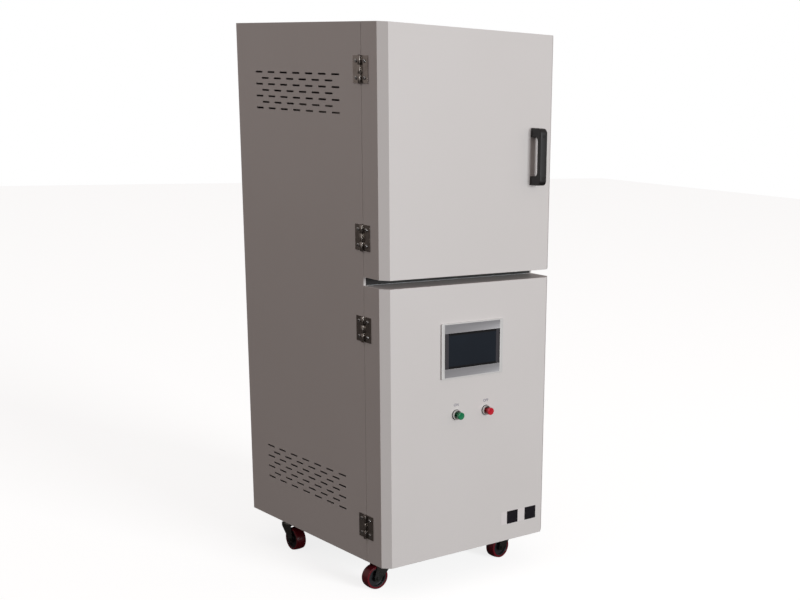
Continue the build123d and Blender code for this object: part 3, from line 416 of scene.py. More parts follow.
# Cover glass over a black print, a grey one and the liquid crystal, all mirror-smooth
COVER_GLASS = Finish(
    "cover_glass_black_print", "#141518", "#17181b", 0.07, ior=1.52, cloud_mm=120, grain_mm=60,
    grain_depth_mm=0.001, roughness_spread=0.02, coat=0.6,
)
SCREEN_STRIP = Finish(
    "cover_glass_grey_print", "#3d3c40", "#434246", 0.12, ior=1.52, cloud_mm=80, grain_mm=60,
    grain_depth_mm=0.001, roughness_spread=0.02, coat=0.5,
)
LIQUID_CRYSTAL = Finish(
    "liquid_crystal_display_off", "#191f27", "#1d252e", 0.1, ior=1.52, cloud_mm=90, grain_mm=60,
    grain_depth_mm=0.001, roughness_spread=0.02, coat=0.6,
)
# Chromed brass of the push-button rings, a soft mirror
CHROMED_BRASS = Finish(
    "satin_chromed_brass", "#dcdcdb", "#cfcfce", 0.2, metallic=1.0, cloud_mm=9, grain_mm=1,
    grain_depth_mm=0.005,
)
# Polycarbonate button caps, glossy and deep in colour
GREEN_CAP = Finish(
    "green_polycarbonate", "#0d7a4d", "#0b6f47", 0.3, ior=1.58, cloud_mm=9, grain_mm=1, grain_depth_mm=0.01
)
RED_CAP = Finish(
    "red_polycarbonate", "#c5152c", "#b81126", 0.3, ior=1.58, cloud_mm=9, grain_mm=1, grain_depth_mm=0.01
)
# Screen-printed ink, duller than the paint under it
DARK_INK = Finish("screen_printed_ink_slate", "#4a4766", "#514e6c", 0.55, cloud_mm=10, grain_depth_mm=0.001)
# Glossy foil of the small plate
FOIL_WHITE = Finish("printed_foil_white", "#dbd6d6", "#d5cfcf", 0.3, cloud_mm=20, grain_depth_mm=0.002)
FOIL_BLACK = Finish("printed_foil_black", "#16141a", "#1b191f", 0.25, cloud_mm=20, grain_depth_mm=0.002)
# Vacuum-formed ceramic fibre board: chalky, with a felted, slightly fluffy face
FIBRE_BOARD = Finish(
    "ceramic_fibre_board", "#ece7da", "#dcd5c4", 0.95, cloud_mm=35, grain_mm=2.4, grain_depth_mm=0.5,
    roughness_spread=0.03,
)
# Braided ceramic rope of the door seal, chalky, with painted shade in the gaps between its strands
GASKET_ROPE = Braided("braided_ceramic_rope", "#e4dfd2", "#b9b19f", 0.95, grain_depth_mm=0.8)
# Dense alumina: ivory, smooth and faintly speckled
ALUMINA = Finish(
    "sintered_alumina", "#e3dac6", "#d6cbb4", 0.55, ior=1.76, cloud_mm=8, grain_mm=1.5, grain_depth_mm=0.03
)
# Molybdenum disilicide with its glassy dark skin
SILICIDE = Finish(
    "molybdenum_disilicide", "#3a3836", "#4b4845", 0.33, metallic=0.4, cloud_mm=9, grain_mm=1.2,
    grain_depth_mm=0.03,
)
# Heat-resisting steel of the thermocouple, browned by its scale
SCALED_STEEL = Finish(
    "scaled_heat_resisting_steel", "#6b6158", "#564c44", 0.55, metallic=0.8, cloud_mm=12, grain_mm=1.5,
    grain_depth_mm=0.05,
)
# Transformer: varnished core sheets seen edge on
CORE_SHEETS = Banded(
    "varnished_core_sheets", "#5a4636", "#33281f", 0.45, metallic=0.4, grain_depth_mm=0.15, layer_mm=2.4,
    direction="Y",
)
# Extruded aluminium of the regulator's heat sink, with its grain along the fins
EXTRUDED_ALUMINIUM = Finish(
    "extruded_aluminium", "#b7babd", "#a9acb0", 0.38, metallic=1.0, cloud_mm=30, grain_mm=1.2,
    grain_depth_mm=0.015, stretch=(1.0, 1.0, 0.06),
)
# Nickel-plated brass of the cable gland, a warm bright metal
NICKEL_BRASS = Finish(
    "nickel_plated_brass", "#bdb6a8", "#a89f8d", 0.26, metallic=1.0, cloud_mm=10, grain_mm=1,
    grain_depth_mm=0.01,
)
# Cast polyurethane of the treads, a dark red that is glossier in some places than in others
RED_POLYURETHANE = Finish(
    "cast_polyurethane_dark_red", "#6e0f1d", "#570b17", 0.35, ior=1.49, cloud_mm=16, grain_mm=1.5,
    grain_depth_mm=0.04, roughness_spread=0.12,
)
# Polypropylene wheel core, a dull black
WHEEL_CORE = Finish(
    "moulded_polypropylene_black", "#26272a", "#1c1d20", 0.4, cloud_mm=14, grain_mm=1.5, grain_depth_mm=0.03
)

NODE_FINISHES: dict[Finish, tuple[str, ...]] = {
    POWDER_COAT: (
        "left_side_panel", "right_side_panel", "top_panel", "upper_back_panel", "lower_back_panel",
        "upper_door_skin", "lower_door_skin",
    ),
    GALVANISED: (
        "base_pan", "castor_rails", "mid_shelf", "upper_door_pan", "casing_supports", "mounting_panel",
    ),
    STAINLESS_SHEET: ("chamber_front_plate", "chamber_casing"),
    STAINLESS_HINGE: (
        "hinge_cabinet_leaves", "upper_door_hinge_leaves", "lower_door_hinge_leaves", "hinge_pins",
    ),
    STAINLESS_FLUE: ("exhaust_port",),
    FIBRE_BOARD: ("insulation_floor", "insulation_roof", "insulation_walls", "door_plug"),
    GASKET_ROPE: ("door_gasket",),
    ALUMINA: ("hearth_plate", "element_clamps"),
    SILICIDE: ("heating_elements",),
    SCALED_STEEL: ("thermocouple",),
    BLACK_NYLON: ("door_catches", "fan_housing", "fan_rotor", "breaker_toggle", "door_handle"),
    DEVICE_DARK: ("button_contact_blocks", "terminal_block"),
    DEVICE_GREY: ("circuit_breaker", "contactor"),
    EXTRUDED_ALUMINIUM: ("power_regulator",),
    CORE_SHEETS: ("transformer",),
    NICKEL_BRASS: ("cable_gland",),
    SILVER_ABS: ("hmi_bezel",),
    COVER_GLASS: ("hmi_screen",),
    CHROMED_BRASS: ("button_bezels",),
    GREEN_CAP: ("start_button",),
    RED_CAP: ("stop_button",),
    ZINC_PLATED_SHADED: (
        "castor_plates", "front_left_fork", "front_right_fork", "rear_left_fork", "rear_right_fork",
    ),
    WHEEL_CORE: ("front_left_wheel", "front_right_wheel", "rear_left_wheel", "rear_right_wheel"),
    RED_POLYURETHANE: ("front_left_tread", "front_right_tread", "rear_left_tread", "rear_right_tread"),
}


# Work on one piece


def activate(*pieces: Piece) -> None:
    """Selects these pieces and nothing else, and makes the first one active.

    Args:
        *pieces: The pieces to select.
    """
    if bpy.context.object and bpy.context.object.mode != "OBJECT":
        bpy.ops.object.mode_set(mode="OBJECT")
    bpy.ops.object.select_all(action="DESELECT")
    for piece in pieces:
        piece.select_set(True)
    bpy.context.view_layer.objects.active = pieces[0]


def started(name: str) -> Piece:
    """Names the primitive that was just added, and puts its place into its mesh.

    Args:
        name: The name that it gets.

    Returns:
        The piece, at the origin.
    """
    piece = bpy.context.object
    piece.name = piece.data.name = name
    activate(piece)
    bpy.ops.object.transform_apply(location=True, rotation=True, scale=True)
    return piece


def block(name: str, low: Sequence[float], high: Sequence[float]) -> Piece:
    """Starts a piece from a cube.

    Args:
        name: The piece's name.
        low: Its lowest corner, in metres.
        high: Its highest corner.

    Returns:
        The new piece.
    """
    low, high = Vector(low), Vector(high)
    bpy.ops.object.select_all(action="DESELECT")
    bpy.ops.mesh.primitive_cube_add(size=1, location=(low + high) / 2, scale=high - low)
    return started(name)


def turned(
    name: str,
    profile: Sequence[tuple[float, float]],
    start: Vector,
    axis: Vector,
    sides: int = 48,
    hollow: bool = False,
) -> Piece:
    """Turns a round piece by extruding and resizing a circle along an axis, as a lathe would leave it.

    Args:
        name: The piece's name.
        profile: Radius and distance along the axis of each step, in metres, the first on the start face.
        start: The middle of the start face.
        axis: The direction that the piece grows in.
        sides: How many straight sides its round faces have.
        hollow: Whether the profile comes back to its first point, so that a hole runs through.

    Returns:
        The new piece.
    """
    radius, first = profile[0]
    fill = "NOTHING" if hollow else "NGON"
    bpy.ops.object.select_all(action="DESELECT")
    bpy.ops.mesh.primitive_circle_add(vertices=sides, radius=radius, fill_type=fill)
    piece = bpy.context.object
    bpy.ops.object.mode_set(mode="EDIT")
    bpy.ops.mesh.select_mode(type=Kind.VERTEX.value)
    bpy.ops.mesh.select_all(action="SELECT")
    for wide, along in profile[1:]:
        bpy.ops.mesh.extrude_region_move(TRANSFORM_OT_translate={"value": (0, 0, along - first)})
        bpy.ops.transform.resize(value=(wide / radius, wide / radius, 1), center_override=(0, 0, along))
        radius, first = wide, along
    bpy.ops.mesh.select_all(action="SELECT")
    bpy.ops.mesh.remove_doubles(threshold=0.001 * MM)
    bpy.ops.mesh.normals_make_consistent(inside=False)
    bpy.ops.object.mode_set(mode="OBJECT")
    piece.rotation_mode = "QUATERNION"
    piece.rotation_quaternion = Z.rotation_difference(axis)
    piece.location = start
    return started(name)


@contextmanager
def editing(piece: Piece, kind: Kind, test: Callable[[Any], bool]) -> Iterator[None]:
    """Opens a piece in edit mode with the elements that pass a test selected.

    Args:
        piece: The piece to open.
        kind: The kind of element that is tested.
        test: Says whether an element is selected.
    """
    activate(piece)
    bpy.ops.object.mode_set(mode="EDIT")
    bpy.ops.mesh.select_mode(type=kind.value)
    bpy.ops.mesh.select_all(action="DESELECT")
    mesh = bmesh.from_edit_mesh(piece.data)
    elements = {Kind.VERTEX: mesh.verts, Kind.EDGE: mesh.edges, Kind.FACE: mesh.faces}[kind]
    for element in elements:
        if test(element):
            element.select_set(True)
    bmesh.update_edit_mesh(piece.data)
    yield
    bpy.ops.object.mode_set(mode="OBJECT")


def middle(edge: bmesh.types.BMEdge) -> Vector:
    """The point halfway along an edge."""
    return (edge.verts[0].co + edge.verts[1].co) / 2


def runs(edge: bmesh.types.BMEdge, axis: Vector) -> bool:
    """Whether an edge lies along an axis."""
    return abs((edge.verts[0].co - edge.verts[1].co).normalized().dot(axis)) > 0.999


def faces(face: bmesh.types.BMFace, axis: Vector) -> bool:
    """Whether a face looks along an axis."""
    return face.normal.dot(axis) > 0.99


def near(first: float, second: float) -> bool:
    """Whether two places along an axis are the same."""
    return abs(first - second) < NEAR


def cut(piece: Piece, point: Sequence[float], normal: Vector) -> None:
    """Cuts new edges all round a piece where a plane crosses it.

    Args:
        piece: The piece to cut.
        point: A point on the plane.
        normal: The plane's normal.
    """
    with editing(piece, Kind.FACE, lambda face: True):
        bpy.ops.mesh.bisect(plane_co=point, plane_no=normal)


def sink(piece: Piece, test: Callable[[Any], bool], shift: Sequence[float]) -> None:
    """Extrudes the faces that pass a test by a shift in metres."""
    with editing(piece, Kind.FACE, test):
        bpy.ops.mesh.extrude_region_move(TRANSFORM_OT_translate={"value": tuple(shift)})


def round_edges(piece: Piece, test: Callable[[Any], bool], radius: float, steps: int = 5) -> None:
    """Rounds the edges that pass a test to a radius in metres."""
    with editing(piece, Kind.EDGE, test):
        bpy.ops.mesh.bevel(offset=radius, segments=steps, affect="EDGES", clamp_overlap=True)


def apply(piece: Piece, kind: str, **settings: Any) -> None:
    """Adds a modifier with its settings to a piece and applies it.

    Args:
        piece: The piece that is changed.
        kind: The modifier's type.
        **settings: Values by the names of the modifier's properties.
    """
    activate(piece)
    modifier = piece.modifiers.new(kind.title(), kind)
    for key, value in settings.items():
        setattr(modifier, key, value)
    bpy.ops.object.modifier_apply(modifier=modifier.name)


def soften(piece: Piece, radius: float, steps: int = 3) -> None:
    """Rounds every sharp edge of a piece, clear of the walls beside it."""
    apply(
        piece, "BEVEL", width=radius, segments=steps, limit_method="ANGLE", angle_limit=math.radians(35),
        use_clamp_overlap=True,
    )


def smooth(piece: Piece, degrees: float = 35) -> None:
    """Shades a piece smooth, but sharp at edges over an angle."""
    activate(piece)
    bpy.ops.object.shade_smooth_by_angle(angle=math.radians(degrees))


def dress(piece: Piece, *finishes: Finish) -> None:
    """Gives a piece its materials, the first one everywhere.

    Args:
        piece: The piece that is dressed.
        *finishes: Its finishes, in the order of its material slots.
    """
    piece.data.materials.clear()
    for finish in finishes:
        piece.data.materials.append(finish.material())


def paint(piece: Piece, number: int, test: Callable[[Any], bool]) -> None:
    """Puts the faces that pass a test in one of a piece's material slots.

    Args:
        piece: The piece that is painted.
        number: The number of the material slot.
        test: Says whether a face takes that slot.
    """
    for face in piece.data.polygons:
        if test(face):
            face.material_index = number


def copied(piece: Piece, name: str, shift: Vector) -> Piece:
    """Copies a piece with its own mesh, moved by a shift.

    Args:
        piece: The piece to copy.
        name: The copy's name.
        shift: How far the copy is moved, in metres.

    Returns:
        The copy.
    """
    activate(piece)
    bpy.ops.object.duplicate(linked=False)
    bpy.ops.transform.translate(value=shift)
    return started(name)


def joined(name: str, pieces: Sequence[Piece]) -> Piece:
    """Joins pieces into one, as loose parts of one mesh.

    Args:
        name: The joined piece's name.
        pieces: The pieces, which it takes up.

    Returns:
        The joined piece.
    """
    activate(*pieces)
    if len(pieces) > 1:
        bpy.ops.object.join()
    return started(name)


def carve(piece: Piece, cutter: Piece) -> None:
    """Cuts one piece's shape out of another, and takes the cutter away."""
    apply(piece, "BOOLEAN", operation="DIFFERENCE", object=cutter, solver="EXACT")
    bpy.data.objects.remove(cutter)


def fit(piece: Piece, body: str, slot: str, *nodes: str) -> Piece:
    """Fixes a finished piece to its body.

    Args:
        piece: The finished piece.
        body: The body that it moves with.
        slot: The record's material slot of the piece; not used.
        *nodes: The nodes of the frame that it stands for.

    Returns:
        The same piece.
    """
    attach(piece, body)
    if nodes:
        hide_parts(*nodes)
    log.info("%s on %s", piece.name, body)
    return piece


# Sub-assemblies


@dataclass
class SheetMetal:
    """The nodes of the frame that stay as they are, with their finishes and their edges just broken."""

    edge: float = 0.6 * MM
    bent: float = 1.4 * MM
    folded: tuple[str, ...] = (
        "upper_door_skin", "lower_door_skin", "top_panel", "upper_back_panel", "lower_back_panel",
    )

    def build(self) -> None:
        """Dresses every node, and rounds the edges of those that stay in sight."""
        for finish, names in NODE_FINISHES.items():
            for name in names:
                node = frame["nodes"][name]
                dress(node, finish)
                self.break_edges(node, self.bent if name in self.folded else self.edge)

    def break_edges(self, node: Piece, radius: float) -> None:
        """Rounds a node's edges with live modifiers, which leave its own mesh as it is.

        Args:
            node: The node of the frame.
            radius: The width of the round, in metres.
        """
        weld = node.modifiers.new("Weld", "WELD")
        weld.merge_threshold = NEAR
        flat = node.modifiers.new("Flat", "DECIMATE")
        flat.decimate_type = "DISSOLVE"
        flat.angle_limit = math.radians(0.5)
        bevel = node.modifiers.new("Bevel", "BEVEL")
        bevel.width = radius
        bevel.segments = 2
        bevel.limit_method = "ANGLE"
        bevel.angle_limit = math.radians(40)
        bevel.harden_normals = True


@dataclass
class VentedSide:
    """A side of the cabinet: folded sheet with two blocks of staggered slots with round ends."""

    side: Side
    slot_length: float = 40 * MM
    slot_width: float = 5 * MM
    pitch: float = 68.9 * MM
    row_pitch: float = 17.1 * MM
    columns: int = 7
    rows: int = 7
    vent_heights: tuple[float, float] = (1337.7 * MM, 187.8 * MM)
    sheet: float = 1.5 * MM
    fold: float = 1.4 * MM
    burr: float = 0.25 * MM
    punch_reach: float = 6 * MM
    flat_end: float = 0.02 * MM

    def build(self) -> Piece:
        """Folds the sheet, punches the slots and fits it in place of its node.

        Returns:
            The finished side.
        """
        node = f"{self.side.name.lower()}_side_panel"
        low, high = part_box(node)
        sign = self.side.value
        outer = high.x if sign > 0 else low.x
        inner = outer - sign * self.sheet
        xs = sorted((outer, inner))
        panel = block(f"{node}_vented", (xs[0], low.y, low.z), (xs[1], high.y, high.z))
        lip_back = low.y + self.sheet
        cut(panel, (0, lip_back, 0), Y)
        reach = (high.x - low.x - self.sheet) * -sign
        sink(
            panel,
            lambda face: faces(face, -sign * X) and face.calc_center_median().y < lip_back,
            (reach, 0, 0),
        )
        round_edges(
            panel,
            lambda edge: runs(edge, Z) and near(middle(edge).y, low.y) and near(middle(edge).x, outer),
            self.fold,
        )
        carve(panel, self.punches(outer, (low.y + high.y) / 2, low.z))
        soften(panel, self.burr, 1)
        smooth(panel)
        dress(panel, POWDER_COAT)
        return fit(panel, "cabinet", "cabinet_grey", node)

    def punches(self, x: float, y: float, bottom: float) -> Piece:
        """The shapes that are punched out, one slot modelled and the rest copied.

        Args:
            x: The place of the side's outer face.
            y: The middle of the side, from front to back.
            bottom: The side's lower edge, which the vents' heights count from.

        Returns:
            The slots, joined into one cutter.
        """
        half = Vector((self.punch_reach, self.slot_length / 2, self.slot_width / 2))
        first = block("slot", Vector((x, y, bottom)) - half, Vector((x, y, bottom)) + half)
        round_edges(first, lambda edge: runs(edge, X), self.slot_width / 2 - self.flat_end)
        slots = []
        for height in self.vent_heights:
            for row in range(self.rows):
                count = self.columns - row % 2
                for column in range(count):
                    along = (column - (count - 1) / 2) * self.pitch
                    up = height + (row - (self.rows - 1) / 2) * self.row_pitch
                    slots.append(copied(first, "slot", Vector((0, along, up))))
        bpy.data.objects.remove(first)
        return joined("slots", slots)


@dataclass
class Screw:
    """A pan-head screw with a hexagon socket, seated on a face."""

    radius: float = 5 * MM
    height: float = 2.8 * MM
    socket: float = 2.4 * MM

    def build(self, name: str, seat: Vector, axis: Vector) -> Piece:
        """Turns the head and sinks its socket.

        Args:
            name: The piece's name.
            seat: The middle of the head's underside.
            axis: The direction that the head looks in.

        Returns:
            The screw.
        """
        r, h = self.radius, self.height
        # Up the rim, over the crown and down to the floor of the socket
        profile = [
            (r, 0), (r, 0.45 * h), (0.93 * r, 0.78 * h), (0.74 * r, h), (self.socket, h),
            (self.socket, 0.45 * h),
        ]
        screw = turned(name, profile, seat, axis, sides=24)
        dress(screw, BRIGHT_SCREW, SCREW_SOCKET_SHADE)
        # The socket's faces take the painted shade
        paint(screw, 1, lambda face: self.in_socket(face.center - seat, axis))
        smooth(screw)
        return screw

    def in_socket(self, place: Vector, axis: Vector) -> bool:
        """Whether a point, counted from the seat, lies under the crown and within the socket's walls."""
        along = place.dot(axis)
        return along < 0.9 * self.height and (place - axis * along).length < 1.02 * self.socket


@dataclass
class HingeScrews:
    """The screws of one door's hinges: two in each leaf, four to a hinge."""

    door: Door
    from_pin: float = 20 * MM
    from_middle: float = 22 * MM
    hinge_height: float = 72 * MM
    leaf_thickness: float = 2 * MM

    def build(self) -> list[Piece]:
        """Seats the screws on both leaves of each hinge.

        Returns:
            The screws in the door's leaves, and those in the cabinet's.
        """
        leaves = f"{self.door.value}_hinge_leaves"
        low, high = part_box(leaves)
        pin = self.pin_place()
        face = high.x - self.leaf_thickness
        sets = {self.door.value: -1, "cabinet": 1}
        made = []
        for body, direction in sets.items():
            screws = [
                Screw().build("screw", Vector((face, pin.y + direction * self.from_pin, z + offset)), -X)
                for z in (low.z + self.hinge_height / 2, high.z - self.hinge_height / 2)
                for offset in (-self.from_middle, self.from_middle)
            ]
            screw = joined(f"{self.door.value}_{body}_leaf_screws", screws)
            made.append(fit(screw, body, "stainless"))
        return made

    def pin_place(self) -> Vector:
        """The middle of this door's hinge line, from its joint."""
        joint = next(j for j in frame["joints"] if j["child"] == self.door.value)
        return Vector(joint["pos_m"])


@dataclass
class GapShadeStrip:
    """A black strip on the cabinet's front, in the gap between the two doors: painted shade that darkens the
    gap, in a black rubber finish.
    """

    thickness: float = 1.2 * MM
    inset: float = 6 * MM
    clearance: float = 1 * MM
    hollow: float = 0.6 * MM

    def build(self) -> Piece:
        """Lays the strip along the gap, clear of both doors, with its face drawn in along the middle.

        Returns:
            The finished strip.
        """
        above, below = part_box("upper_door_skin")[0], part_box("lower_door_skin")[1]
        low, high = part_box("top_panel")
        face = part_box("left_side_panel")[0].y
        strip = block(
            "door_gap_painted_shade",
            (low.x + self.inset, face - self.thickness, below.z + self.clearance),
            (high.x - self.inset, face, above.z - self.clearance),
        )
        centre = (below.z + above.z) / 2
        cut(strip, (0, 0, centre), Z)

        def in_front(edge: bmesh.types.BMEdge) -> bool:
            """Whether an edge runs along the middle of the strip's face."""
            place = middle(edge)
            return runs(edge, X) and near(place.y, face - self.thickness) and near(place.z, centre)

        with editing(strip, Kind.EDGE, in_front):
            bpy.ops.transform.translate(value=(0, self.hollow, 0))
        # The black rubber finish here is painted shade, which darkens the gap between the doors
        dress(strip, BLACK_RUBBER)
        return fit(strip, "cabinet", "gasket_rope")


@dataclass
class BridgeHandle:
    """The black bridge handle of the upper door, with a socket screw in each foot."""

    grip: float = 15 * MM
    foot: float = 26 * MM
    outer_radius: float = 16 * MM
    inner_radius: float = 12 * MM
    edge: float = 5 * MM
    screw_radius: float = 5 * MM
    screw_height: float = 1.2 * MM
    screw_socket: float = 2.6 * MM
    screw_gap: float = 0.1 * MM
    screw_from_round: float = 6 * MM

    def build(self) -> Piece:
        """Raises the grip from one foot, returns to the door at the other and rounds it all.

        Returns:
            The screws in the handle's feet.
        """
        low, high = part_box("door_handle")
        handle = block("door_handle_bridge", low, (high.x, high.y, low.z + self.foot))
        grip_back = low.y + self.grip
        cut(handle, (0, grip_back, 0), Y)
        top = Vector((0, 0, high.z - low.z - 2 * self.foot))
        sink(handle, lambda f: faces(f, Z) and f.calc_center_median().y < grip_back, top)
        sink(handle, lambda f: faces(f, Z) and f.calc_center_median().y < grip_back, (0, 0, self.foot))
        sink(
            handle,
            lambda f: faces(f, Y) and f.calc_center_median().z > high.z - self.foot,
            (0, high.y - grip_back, 0),
        )
        inner = (low.z + self.foot, high.z - self.foot)
        ends = (low.z, high.z)
        round_edges(
            handle,
            lambda e: runs(e, X)
            and near(middle(e).y, grip_back)
            and any(near(middle(e).z, z) for z in inner),
            self.inner_radius,
            8,
        )
        round_edges(
            handle,
            lambda e: runs(e, X) and near(middle(e).y, low.y) and any(near(middle(e).z, z) for z in ends),
            self.outer_radius,
            8,
        )
        soften(handle, self.edge, 5)
        smooth(handle)
        dress(handle, BLACK_NYLON)
        fit(handle, Door.UPPER.value, "black_plastic", "door_handle")
        from_end = self.outer_radius + self.screw_from_round
        screws = [
            Screw(self.screw_radius, self.screw_height, self.screw_socket).build(
                "screw", Vector(((low.x + high.x) / 2, low.y - self.screw_gap, z)), -Y
            )
            for z in (low.z + from_end, high.z - from_end)
        ]
        screw = joined("door_handle_screws", screws)
        dress(screw, SCREW_SOCKET_SHADE)
        return fit(screw, Door.UPPER.value, "black_plastic")


@dataclass
class TouchPanel:
    """The touch panel: a silver bezel with a brushed band above and below a black-framed screen."""

    border: float = 11 * MM
    band: float = 28.5 * MM
    band_gap: float = 3 * MM
    band_sink: float = 0.5 * MM
    recess: float = 1 * MM
    strip: float = 14 * MM
    frame_edge: float = 7 * MM
    corner: float = 3 * MM
    bezel_round: float = 0.8 * MM
    glass_sink: float = 0.6 * MM
    housing_width: float = 214 * MM
    housing_height: float = 151 * MM
    housing_gap: float = 0.1 * MM
    housing_round: float = 1.2 * MM
    slot_length: float = 120 * MM
    slot_width: float = 3 * MM
    slot_depth: float = 2 * MM
    slot_pitch: float = 9 * MM
    slots_each_way: int = 5

    def build(self) -> list[Piece]:
        """Models the bezel with its housing, and the screen in it.

        Returns:
            The bezel, the housing and the screen.
        """
        low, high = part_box("hmi_bezel")
        glass_low, glass_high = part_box("hmi_screen")
        front = low.y
        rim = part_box("lower_door_skin")[0].y
        bezel = block("touch_panel_bezel", low, (high.x, rim, high.z))
        round_edges(bezel, lambda e: runs(e, Y), self.corner, 4)
        inside = (low.x + self.border, high.x - self.border)
        screen = (low.z + self.band, high.z - self.band)
        for x in inside:
            cut(bezel, (x, 0, 0), X)
        for z in (low.z + self.band_gap, *screen, high.z - self.band_gap):
            cut(bezel, (0, 0, z), Z)

        def zone(face: Any, bottom: float, top: float) -> bool:
            """Whether a front face lies between the borders and two heights."""
            centre = face.calc_center_median()
            return faces(face, -Y) and inside[0] < centre.x < inside[1] and bottom < centre.z < top

        sink(bezel, lambda f: zone(f, *screen), (0, self.recess, 0))
        bands = ((low.z + self.band_gap, screen[0]), (screen[1], high.z - self.band_gap))
        sink(bezel, lambda f: any(zone(f, *band) for band in bands), (0, self.band_sink, 0))
        soften(bezel, self.bezel_round, 3)
        dress(bezel, SILVER_ABS, BRUSHED_BAND)
        paint(
            bezel,
            1,
            lambda f: f.normal.y < -0.99 and near(f.center.y, front + self.band_sink),
        )
        smooth(bezel)
        housing = self.housing(rim, high)
        fit(housing, Door.LOWER.value, "black_plastic")
        fit(bezel, Door.LOWER.value, "panel_silver", "hmi_bezel")
        return [bezel, housing, self.screen(glass_low, glass_high, front)]

    def housing(self, rim: float, high: Vector) -> Piece:
        """The housing behind the door, with cooling slots across its back.

        Args:
            rim: The place of the door's front face.
            high: The highest corner of the bezel's node, which ends at the housing's back.

        Returns:
            The housing.
        """
        centre = sum((c.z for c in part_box("hmi_bezel")), 0.0) / 2
        half_width, half_height = self.housing_width / 2, self.housing_height / 2
        housing = block(
            "touch_panel_housing",
            (-half_width, rim + self.housing_gap, centre - half_height),
            (half_width, high.y, centre + half_height),
        )
        slots = []
        for number in range(-self.slots_each_way, self.slots_each_way + 1):
            bottom = centre + number * self.slot_pitch
            slots.append(
                block(
                    "slot",
                    (-self.slot_length / 2, high.y - self.slot_depth, bottom),
                    (self.slot_length / 2, high.y + MM, bottom + self.slot_width),
                )
            )
        carve(housing, joined("slots", slots))
        soften(housing, self.housing_round, 3)
        smooth(housing)
        dress(housing, DEVICE_DARK)
        return housing

    def screen(self, low: Vector, high: Vector, front: float) -> Piece:
        """The cover glass: a black frame, two grey strips and the dark display between them.

        Args:
            low: The lowest corner of the screen's node.
            high: Its highest corner.
            front: The place of the bezel's front face.

        Returns:
            The finished screen.
        """
        glass = block("touch_panel_screen", (low.x, front + self.glass_sink, low.z), high)
        side_edge = self.frame_edge / 3
        for x in (low.x + self.strip, high.x - self.strip, low.x + side_edge, high.x - side_edge):
            cut(glass, (x, 0, 0), X)
        for z in (low.z + self.frame_edge, high.z - self.frame_edge):
            cut(glass, (0, 0, z), Z)
        dress(glass, COVER_GLASS, SCREEN_STRIP, LIQUID_CRYSTAL)
        paint(
            glass,
            2,
            lambda f: f.normal.y < -0.9 and abs(f.center.x) < high.x - self.strip
            and low.z + self.frame_edge < f.center.z < high.z - self.frame_edge,
        )
        paint(
            glass,
            1,
            lambda f: f.normal.y < -0.9 and high.x - self.strip < abs(f.center.x) < high.x - side_edge,
        )
        return fit(glass, Door.LOWER.value, "screen_glass", "hmi_screen")


